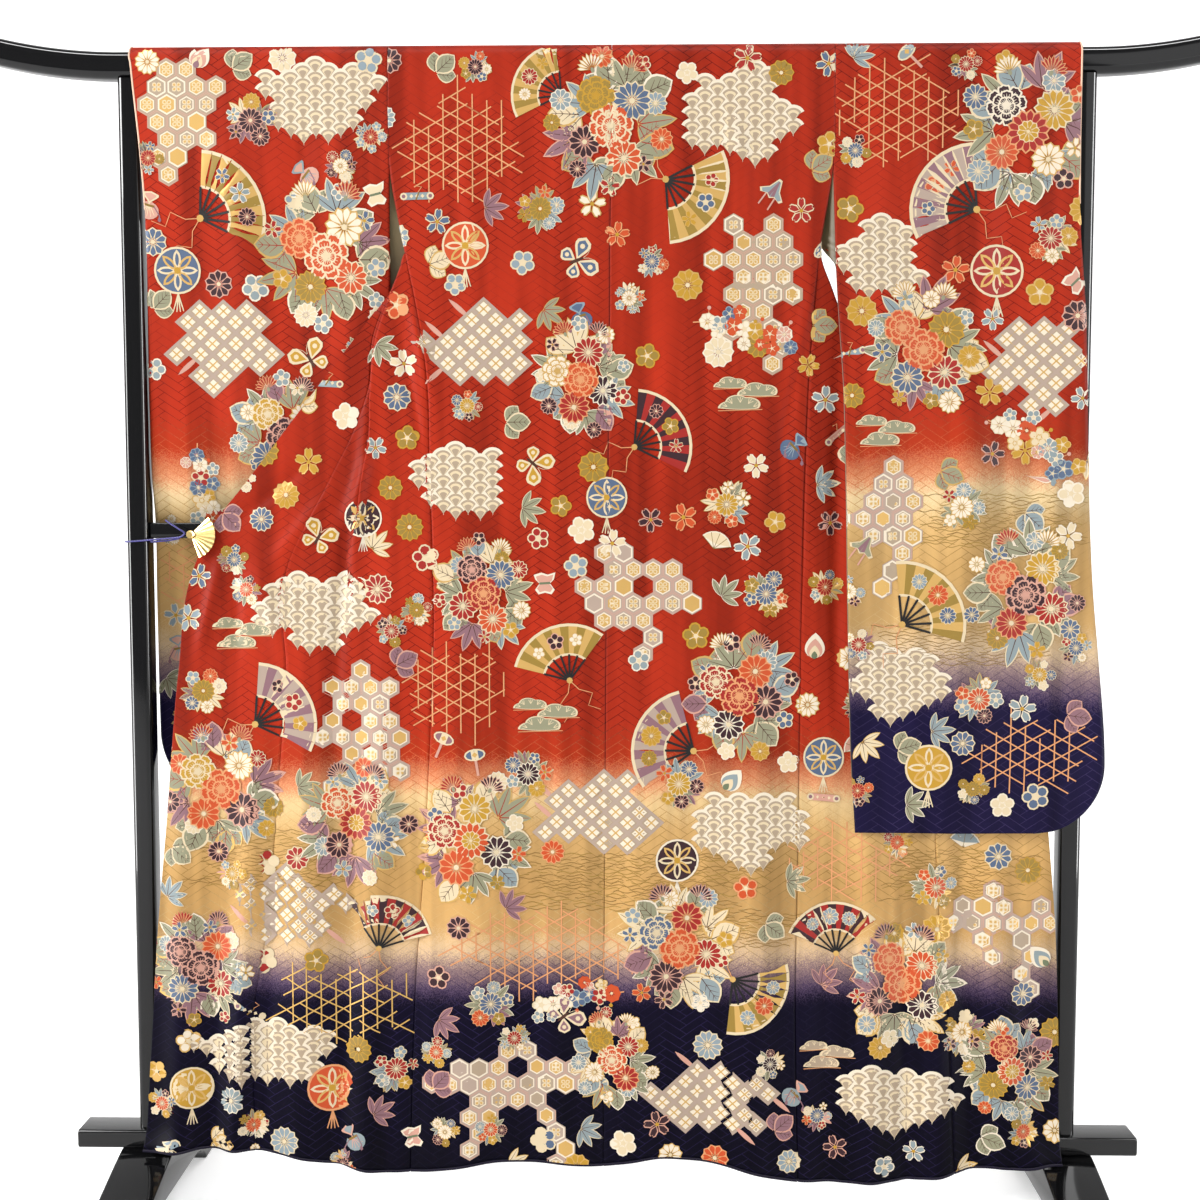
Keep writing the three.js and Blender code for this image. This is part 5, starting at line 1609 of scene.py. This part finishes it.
def hoard(d, at, size, dice, layer=0.0):
    """A few treasures scattered together."""
    for k in range(3):
        a = 2.1 * k + dice.uniform(-0.4, 0.4)
        dice.choice(TREASURES)(d, away(at, a, size), dice.uniform(24, 32), dice.uniform(-0.7, 0.7), dice,
                               layer)


def draw_row(d, number, kind, x, z, wide, tall):
    """Draws one row of a layout; tall is a turn for the things that lean."""
    dice = random.Random(number * 7 + 3)
    at = (x, z)
    turn = math.radians(tall)
    if kind == "bouquet":
        bouquet(d, at, wide, dice, 6)
    elif kind == "spray":
        spray(d, at, wide, dice, 5)
    elif kind == "twig":
        twig(d, at, wide, turn, dice, 5)
    elif kind == "leafage":
        face, edge, vein = dice.choice(FOLIAGE)
        dice.choice((leaves, bamboo))(d, at, wide, turn, face, edge, vein, 3)
    elif kind == "folding_fan":
        folding_fan(d, at, wide, turn, dice, 4)
    elif kind == "temari":
        temari(d, at, wide, turn, dice, 5)
    elif kind == "butterfly":
        butterfly(d, at, wide, turn, dice, 6)
    elif kind == "pine":
        pine(d, at, wide, dice, "sage" if z > 330 else "stone", "cream", 3)
    elif kind == "treasure":
        dice.choice(TREASURES)(d, at, wide, turn, dice, 6)
    elif kind == "flower":
        small_flower(d, at, wide, dice, 5)
    elif kind == "hoard":
        hoard(d, at, wide, dice, 6)
    elif kind == "mist":
        mist(d, at, wide, tall, dice, 1)
    elif kind == "kikko":
        kikko(d, at, wide, tall, dice, "stone" if z > 1200 else "lilac", 0)
    elif kind == "diamonds":
        diamonds(d, at, wide, tall, dice, 0)
    elif kind == "kagome":
        kagome(d, at, wide, tall, dice, "peach" if z > 330 else "gold", 0.5)
    elif kind == "seigaiha":
        seigaiha(d, at, wide, tall, dice, layer=0)
    else:
        raise ValueError(f"no motif is called {kind}")


# Each row: motif, across, height, half its width or its size, and half its height or its turn in degrees.
BODY_LAYOUT = [
    # the back: one stream of heaped flowers winds down it, with a ground or a fan on each bank
    ("seigaiha", 196, 1610, 80, 62), ("bouquet", 10, 1600, 92, 0), ("folding_fan", 132, 1500, 92, -30),
    ("kagome", -206, 1570, 74, 66), ("folding_fan", -96, 1664, 72, 150), ("kikko", 222, 1400, 62, 64),
    ("spray", -92, 1484, 44, 0), ("temari", -200, 1432, 34, 0), ("butterfly", -40, 1410, 62, 20),
    ("twig", 128, 1322, 130, -20), ("diamonds", -176, 1290, 72, 56),
    ("bouquet", -34, 1240, 76, 0), ("folding_fan", 84, 1166, 84, 30), ("pine", 206, 1214, 76, 0),
    ("seigaiha", -208, 1090, 62, 50), ("spray", 178, 1060, 46, 0), ("temari", 4, 1070, 30, 0),
    ("butterfly", -104, 1120, 58, -40), ("kikko", 60, 940, 96, 46), ("bouquet", -176, 930, 74, 0),
    ("folding_fan", -66, 846, 84, 110), ("spray", 236, 930, 44, 0), ("kagome", -216, 790, 66, 56),
    ("bouquet", 198, 780, 84, 0), ("folding_fan", 84, 716, 92, 160), ("pine", -84, 746, 78, 0),
    ("diamonds", -4, 606, 84, 54), ("spray", -112, 664, 46, 0), ("spray", 110, 650, 48, 0),
    ("bouquet", -196, 566, 88, 0), ("seigaiha", 214, 580, 84, 50), ("mist", 30, 506, 190, 44),
    ("mist", 160, 440, 120, 30), ("temari", 108, 536, 32, 0), ("bouquet", 112, 404, 88, 0),
    ("folding_fan", 226, 330, 84, -40), ("kagome", -88, 400, 120, 54), ("spray", -168, 320, 46, 0),
    ("kikko", -130, 200, 110, 48), ("bouquet", 12, 236, 66, 0), ("diamonds", 158, 176, 84, 44),
    ("butterfly", -60, 300, 60, 40), ("twig", 30, 340, 120, 200),
    # the left front and its overlap, opened out as a wing
    ("seigaiha", -420, 900, 84, 52), ("pine", -530, 866, 72, 0), ("kikko", -352, 744, 66, 74),
    ("folding_fan", -470, 762, 92, 30), ("spray", -590, 786, 44, 0), ("temari", -352, 1040, 28, 0),
    ("butterfly", -420, 1010, 56, 60), ("bouquet", -566, 640, 88, 0), ("bouquet", -366, 590, 82, 0),
    ("mist", -500, 540, 130, 44), ("diamonds", -472, 462, 78, 52), ("folding_fan", -318, 446, 80, 70),
    ("bouquet", -600, 372, 78, 0), ("kagome", -386, 322, 92, 52), ("seigaiha", -506, 236, 96, 48),
    ("temari", -406, 190, 36, 0), ("spray", -310, 220, 46, 0), ("temari", -616, 190, 32, 0),
    # the right front and its overlap
    ("spray", 322, 940, 34, 0), ("temari", 322, 690, 30, 0), ("kagome", 352, 540, 70, 50),
    ("folding_fan", 336, 440, 78, 100), ("bouquet", 440, 352, 84, 0), ("kikko", 586, 450, 74, 50),
    ("mist", 500, 520, 100, 40), ("spray", 486, 500, 44, 0), ("seigaiha", 436, 176, 90, 44),
    ("bouquet", 602, 226, 70, 0), ("pine", 332, 240, 66, 0), ("spray", 530, 280, 44, 0)]
LEFT_SLEEVE_LAYOUT = [
    ("seigaiha", -410, 1636, 84, 54), ("kikko", -606, 1620, 56, 70), ("spray", -508, 1610, 48, 0),
    ("folding_fan", -540, 1500, 96, 30), ("bouquet", -404, 1420, 96, 0), ("temari", -622, 1400, 34, 0),
    ("diamonds", -556, 1296, 74, 58), ("butterfly", -430, 1270, 62, 120), ("spray", -352, 1276, 40, 0),
    ("bouquet", -470, 1160, 80, 0), ("twig", -600, 1150, 120, -100), ("pine", -370, 1150, 66, 0),
    ("mist", -500, 1010, 120, 40), ("seigaiha", -410, 1010, 70, 46), ("kagome", -590, 950, 62, 52),
    ("bouquet", -520, 840, 78, 0), ("folding_fan", -400, 850, 84, 100), ("kikko", -450, 710, 96, 40),
    ("spray", -620, 740, 42, 0), ("temari", -360, 760, 30, 0)]
RIGHT_SLEEVE_LAYOUT = [
    ("kagome", 424, 1620, 76, 62), ("bouquet", 604, 1590, 96, 0), ("folding_fan", 486, 1506, 96, 150),
    ("seigaiha", 398, 1404, 54, 56), ("spray", 636, 1438, 46, 0), ("temari", 560, 1392, 38, 0),
    ("bouquet", 456, 1280, 88, 0), ("diamonds", 620, 1262, 62, 62), ("pine", 404, 1160, 70, 0),
    ("twig", 548, 1180, 130, -20), ("kikko", 408, 1060, 58, 54), ("mist", 560, 1040, 120, 40),
    ("spray", 512, 1056, 44, 0), ("bouquet", 606, 930, 86, 0), ("folding_fan", 468, 920, 92, 40),
    ("seigaiha", 424, 800, 66, 50), ("mist", 500, 860, 120, 30), ("spray", 540, 780, 46, 0),
    ("kagome", 618, 700, 80, 44), ("temari", 470, 680, 34, 0)]
FILLERS = (("flower", 19), ("flower", 17), ("treasure", 32), ("leafage", 36), ("spray", 30), ("flower", 21))


def filled_in(rows, seed, left, right, low=70.0, high=1700.0):
    """A layout with small motifs added wherever its rows leave an open place."""
    dice = random.Random(seed)
    taken = [(x, z, wide * 0.92, (wide if kind in ("bouquet", "spray", "folding_fan",
                                                   "temari") else tall) * 0.92 or wide * 0.5)
             for kind, x, z, wide, tall in rows if kind != "mist"]
    added = []
    for _ in range(2600):
        x, z = dice.uniform(left, right), dice.uniform(low, high)
        if all(math.hypot((x - a) / (wide + 20), (z - b) / (abs(tall) + 20)) > 1 for a, b, wide,
               tall in taken):
            kind, size = dice.choice(FILLERS)
            added.append((kind, x, z, size, dice.uniform(-50, 50)))
            taken.append((x, z, 26.0, 26.0))
    return rows + added


def sparse(rows):
    """A layout without its sprays and twigs, for a wall that hangs behind another."""
    return [row for row in rows if row[0] not in ("spray", "twig")]


def dye_material(dye):
    """Dye or gold leaf laid on the silk, with the silk's grain."""
    metal = dye in ("gold", "deep_gold")
    finish = Finish(f"dyed {dye.replace('_', ' ')}", 0.42 if metal else 0.5, Base_Color=rgb(DYES[dye]),
                    Metallic=0.35 if metal else 0.0, Specular_IOR_Level=0.25)
    where = finish.add("ShaderNodeTexCoord").outputs["Object"]
    finish.bump(finish.noise(where, 1100.0, 1.0), 0.00016, 0.7)
    return finish.material


def lay_on_cloth(drawing, cloths, toward):
    """Points, faces and dyes of a drawing laid on cloth, seen along +Y (toward 1) or against it (-1)."""
    points = np.concatenate(drawing.points)
    lifts = np.concatenate(drawing.lifts)
    faces = np.concatenate(drawing.faces)
    dyes = np.concatenate(drawing.dyes)
    corners, quads, count = [], [], 0
    for cloth in cloths:
        verts, panel = OUTSIDES[cloth]
        corners.append(verts)
        quads.append(panel + count)
        count += len(verts)
    tree = BVHTree.FromPolygons(np.concatenate(corners).tolist(), np.concatenate(quads).tolist())
    ray = Vector((0.0, float(toward), 0.0))
    placed_points = np.zeros((len(points), 3))
    found = np.zeros(len(points), bool)
    for i, (x, z) in enumerate(points):
        spot, normal, _, _ = tree.ray_cast(Vector((x, -1500.0 * toward, z)), ray)
        if spot is not None:
            side = -1.0 if normal.dot(ray) > 0 else 1.0
            placed_points[i] = spot + normal * side * lifts[i]
            found[i] = True
    some = found[faces].any(axis=1) & ~found[faces].all(axis=1)
    for face in faces[some]:
        depth = placed_points[face[found[face]], 1].mean()
        for i in face[~found[face]]:
            x, z = points[i]
            spot, normal, _, _ = tree.find_nearest(Vector((x, depth, z)), 9.0)
            if spot is not None:
                side = -1.0 if normal.dot(ray) > 0 else 1.0
                placed_points[i] = spot + normal * side * lifts[i]
                found[i] = True
    keep = found[faces].all(axis=1)
    depths = placed_points[faces][:, :, 1]
    keep &= (depths.max(axis=1) - depths.min(axis=1)) < 4.0
    faces, dyes = faces[keep], dyes[keep]
    area = np.cross(placed_points[faces[:, 1]] - placed_points[faces[:, 0]],
                    placed_points[faces[:, 2]] - placed_points[faces[:, 0]])
    solid = np.linalg.norm(area, axis=1) > 1e-4
    faces, dyes, area = faces[solid], dyes[solid], area[solid]
    wrong = area[:, 1] * toward > 0
    faces[wrong] = faces[wrong][:, ::-1]
    return placed_points, faces, dyes


def pattern_piece(name, points, faces, dyes):
    """One object of dyed shapes, with a finish for each dye in it."""
    used, faces = np.unique(faces, return_inverse=True)
    mesh = bpy.data.meshes.new(name)
    mesh.from_pydata((points[used] * MM).tolist(), [], faces.reshape(-1, 3).tolist())
    present, slots = np.unique(dyes, return_inverse=True)
    mesh.polygons.foreach_set("material_index", slots.astype(np.int32))
    mesh.polygons.foreach_set("use_smooth", np.ones(len(slots), bool))
    mesh.update()
    finishes = [shared(f"dyed {DYE_ORDER[k].replace('_', ' ')}", lambda _,
                       dye=DYE_ORDER[k]: dye_material(dye)) for k in present]
    return new_object(name, mesh, finishes)


def drawn(layout, seed):
    drawing = Drawing()
    for number, row in enumerate(layout):
        draw_row(drawing, seed + number, *row)
    return drawing


# ------------------------------------------------------------------ the kimono


class OBJECT_OT_kimono_back(bpy.types.Operator):
    """Hang the two halves of the back, sewn together down the middle"""

    bl_idname = "kimono.back"
    bl_label = "Back Panels"

    def execute(self, context):
        cloth = context.scene.furisode_kimono
        finishes = [body_silk(), lining(), hem_silk()]
        for word, side in (("left", -1), ("right", 1)):
            grid = back_grid(side)
            panel = cloth_mesh(f"kimono_back_{word}", grid, True, finishes, ("hem",), cloth.wall / MM)
            attach(panel, "body_silk", f"back_{word}")
            roll = tube_along(f"hem_roll_back_{word}", grid[-1], cloth.piping_radius / MM, [hem_silk()])
            attach(roll, "body_silk")
            min(flat_area(grid), 0.31 * 1.70)
        return {"FINISHED"}


class OBJECT_OT_kimono_fronts(bpy.types.Operator):
    """Hang the fronts over the rail, pleated behind the back, with their overlaps opened out"""

    bl_idname = "kimono.fronts"
    bl_label = "Fronts and Overlaps"

    def execute(self, context):
        cloth = context.scene.furisode_kimono
        finishes = [body_silk(), lining(), hem_silk()]
        for word, side in (("left", -1), ("right", 1)):
            for kind, grid, width, length in (("front", front_grid(side), 0.25, 1.72),
                                              ("overlap", overlap_grid(side), 0.17, 1.30)):
                panel = cloth_mesh(f"kimono_{kind}_{word}", grid, True, finishes, ("hem",), cloth.wall / MM)
                attach(panel, "body_silk", f"{kind}_{word}")
                roll = tube_along(f"hem_roll_{kind}_{word}", grid[-1], cloth.piping_radius / MM, [hem_silk()])
                attach(roll, "body_silk")
                whole = width * length
                min(max(flat_area(grid), 0.3 * whole), whole)
        return {"FINISHED"}


class OBJECT_OT_kimono_collar(bpy.types.Operator):
    """Fold the collar round the back of the neck and down both fronts"""

    bl_idname = "kimono.collar"
    bl_label = "Collar"

    def execute(self, context):
        cloth = context.scene.furisode_kimono
        finishes = [body_silk(), body_silk(), body_silk()]
        neck = cloth_mesh("kimono_collar_neck", collar_neck_grid(), False, finishes, (), 2.0)
        attach(neck, "collar_silk", "collar_neck")
        for word, side in (("left", -1), ("right", 1)):
            grid = collar_front_grid(side)
            panel = cloth_mesh(f"kimono_collar_{word}", grid, True, finishes, (), cloth.wall / MM)
            attach(panel, "collar_silk", f"collar_{word}")
            min(flat_area(grid), 0.07 * 0.80)
        return {"FINISHED"}


class OBJECT_OT_kimono_sleeves(bpy.types.Operator):
    """Hang both long sleeves, each with its two walls, its cuff and its rounded corner"""

    bl_idname = "kimono.sleeves"
    bl_label = "Sleeves"

    def execute(self, context):
        cloth = context.scene.furisode_kimono
        finishes = [sleeve_silk(), lining(), piping()]
        for word, side in (("left", -1), ("right", 1)):
            for kind, outer in (("outer", True), ("inner", False)):
                grid = sleeve_grid(side, outer)
                panel = cloth_mesh(f"kimono_sleeve_{word}_{kind}", grid, outer, finishes, ("far",),
                                   cloth.wall / MM)
                attach(panel, "sleeve_silk", f"sleeve_{word}_{kind}")
                cuff = grid[:, -1][grid[:, -1, 2] > RAIL_TOP - CUFF_LONG]
                roll = tube_along(f"cuff_roll_{word}_{kind}", cuff, cloth.piping_radius / MM * 0.7,
                                  [piping()])
                attach(roll, "sleeve_silk")
                min(flat_area(grid), 0.36 * 1.14)
        return {"FINISHED"}


class OBJECT_OT_dyed_pattern(bpy.types.Operator):
    """Lay the dyed flowers, grounds, fans and treasures on the back, the fronts and the sleeves"""

    bl_idname = "kimono.dyed_pattern"
    bl_label = "Dyed Pattern"

    def execute(self, context):
        body = [f"kimono_{kind}_{word}" for kind in ("back", "front", "overlap") for word in ("left",
                                                                                              "right")]
        points, faces, dyes = lay_on_cloth(drawn(filled_in(BODY_LAYOUT, 5, -670, 670), 11), body, 1)
        zones = np.searchsorted(BODY_ZONES, points[faces][:, :, 0].mean(axis=1))
        for zone, name in enumerate(("pattern_left_wing", "pattern_back", "pattern_right_wing")):
            attach(pattern_piece(name, points, faces[zones == zone], dyes[zones == zone]), "body_silk")
        left = filled_in(LEFT_SLEEVE_LAYOUT, 6, -660, -325, 640)
        right = filled_in(RIGHT_SLEEVE_LAYOUT, 7, 350, 690, 620)
        work = (("pattern_sleeve_left", left, 211, "kimono_sleeve_left_outer", 1),
                ("pattern_sleeve_right", right, 311, "kimono_sleeve_right_outer", 1),
                ("pattern_sleeve_left_inner", sparse(LEFT_SLEEVE_LAYOUT), 411,
                 "kimono_sleeve_left_inner", -1),
                ("pattern_sleeve_right_inner", sparse(RIGHT_SLEEVE_LAYOUT), 511,
                 "kimono_sleeve_right_inner", -1))
        for name, layout, seed, cloth, toward in work:
            attach(pattern_piece(name, *lay_on_cloth(drawn(layout, seed), [cloth], toward)), "sleeve_silk")
        return {"FINISHED"}


class OBJECT_OT_fan_clips(bpy.types.Operator):
    """Gild the fan clips that hold the skirt's corners to the posts"""

    bl_idname = "kimono.fan_clips"
    bl_label = "Fan Clips"

    def execute(self, context):
        for word in ("left", "right"):
            for kind in ("fan", "jaw", "pivot"):
                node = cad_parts[f"clip_{kind}_{word}"]
                node.data.materials.clear()
                node.data.materials.append(gilding())
        return {"FINISHED"}


# ------------------------------------------------------------------ the studio


class OBJECT_OT_studio(bpy.types.Operator):
    """Light the stand softly on a plain white floor that runs up into its backdrop"""

    bl_idname = "kimono.studio"
    bl_label = "Studio"

    def execute(self, context):
        studio = context.scene.furisode_studio
        white = Finish("studio white", 0.9, Base_Color=(0.92, 0.92, 0.92, 1.0),
                       Emission_Color=(1.0, 1.0, 1.0, 1.0),
                       Emission_Strength=0.42).material
        depth, front, wide, tall, round_off = 4.5, -6.0, 30.0, 20.0, 2.0
        profile = [(front, 0.0), (0.0, 0.0)]
        for a in np.linspace(0, math.pi / 2, 16):
            profile.append((depth - round_off + round_off * math.sin(a), round_off - round_off * math.cos(a)))
        profile.append((depth, tall))
        points = [(x, y, z - 0.0004) for y, z in profile for x in (-wide, wide)]
        faces = [(2 * i, 2 * i + 1, 2 * i + 3, 2 * i + 2) for i in range(len(profile) - 1)]
        mesh = bpy.data.meshes.new("studio_floor")
        mesh.from_pydata(points, [], faces)
        mesh.polygons.foreach_set("use_smooth", np.ones(len(faces), bool))
        new_object("studio_floor", mesh, [white])
        world = bpy.data.worlds.new("studio world")
        world.use_nodes = True
        world.node_tree.nodes["Background"].inputs[0].default_value = (1.0, 1.0, 1.0, 1.0)
        world.node_tree.nodes["Background"].inputs[1].default_value = 0.34
        context.scene.world = world
        soft = studio.key_power
        strip = studio.strip_power
        lights = (("key", (-5.0, -3.0, 3.7), (0.0, 0.0, 0.9), (2.4, 2.4), soft),
                  ("fill", (2.8, -2.6, 1.6), (0.0, 0.0, 0.8), (2.8, 2.8), soft * 0.09),
                  ("rim", (0.8, 2.2, 3.2), (0.0, 0.0, 1.2), (2.0, 2.0), soft * 0.08),
                  ("left_strip", (-2.6, -0.9, 1.2), (-0.7, 0.0, 1.2), (0.7, 3.2), strip),
                  ("right_strip", (2.6, -0.9, 1.2), (0.7, 0.0, 1.2), (0.7, 3.2), strip),
                  ("top_strip", (0.0, -1.2, 4.2), (0.0, 0.0, 1.7), (6.0, 0.5), strip * 1.5))
        for name, place, aim, (across, along), power in lights:
            data = bpy.data.lights.new(f"{name} light", "AREA")
            data.shape = "RECTANGLE"
            data.size = across
            data.size_y = along
            data.energy = power
            lamp = bpy.data.objects.new(f"{name}_light", data)
            lamp.visible_diffuse = not name.endswith("strip")
            lamp.location = place
            lamp.rotation_euler = (Vector(aim) - Vector(place)).to_track_quat("-Z", "Y").to_euler()
            context.scene.collection.objects.link(lamp)
        context.scene.view_settings.view_transform = "Standard"
        return {"FINISHED"}


# ------------------------------------------------------------------ panel and run

OPERATORS = (
    OBJECT_OT_camera_and_cords, OBJECT_OT_stand_rails, OBJECT_OT_stand_feet, OBJECT_OT_kimono_back,
    OBJECT_OT_kimono_fronts, OBJECT_OT_kimono_collar, OBJECT_OT_kimono_sleeves, OBJECT_OT_dyed_pattern,
    OBJECT_OT_fan_clips,
    OBJECT_OT_studio)


class VIEW3D_PT_kimono(bpy.types.Panel):
    """Lists the steps that dress the stand, in order"""

    bl_idname = "VIEW3D_PT_kimono"
    bl_label = "Furisode on a Stand"
    bl_space_type = "VIEW_3D"
    bl_region_type = "UI"
    bl_category = "Kimono"

    def draw(self, context):
        for settings in (context.scene.furisode_kimono, context.scene.furisode_stand,
                         context.scene.furisode_studio):
            box = self.layout.box()
            for name in settings.bl_rna.properties.keys():
                if name not in ("rna_type", "name"):
                    box.prop(settings, name)
        for step in OPERATORS:
            self.layout.operator(step.bl_idname)


SETTINGS = (("furisode_kimono", KimonoSettings), ("furisode_stand", StandSettings),
            ("furisode_studio", StudioSettings))


def register():
    for name, group in SETTINGS:
        bpy.utils.register_class(group)
        setattr(bpy.types.Scene, name, PointerProperty(type=group))
    for step in OPERATORS + (VIEW3D_PT_kimono,):
        bpy.utils.register_class(step)


def unregister():
    for step in (VIEW3D_PT_kimono,) + OPERATORS[::-1]:
        bpy.utils.unregister_class(step)
    for name, group in SETTINGS[::-1]:
        delattr(bpy.types.Scene, name)
        bpy.utils.unregister_class(group)


def main():
    register()
    for step in OPERATORS:
        group, name = step.bl_idname.split(".")
        getattr(getattr(bpy.ops, group), name)()


if __name__ == "__main__":
    main()
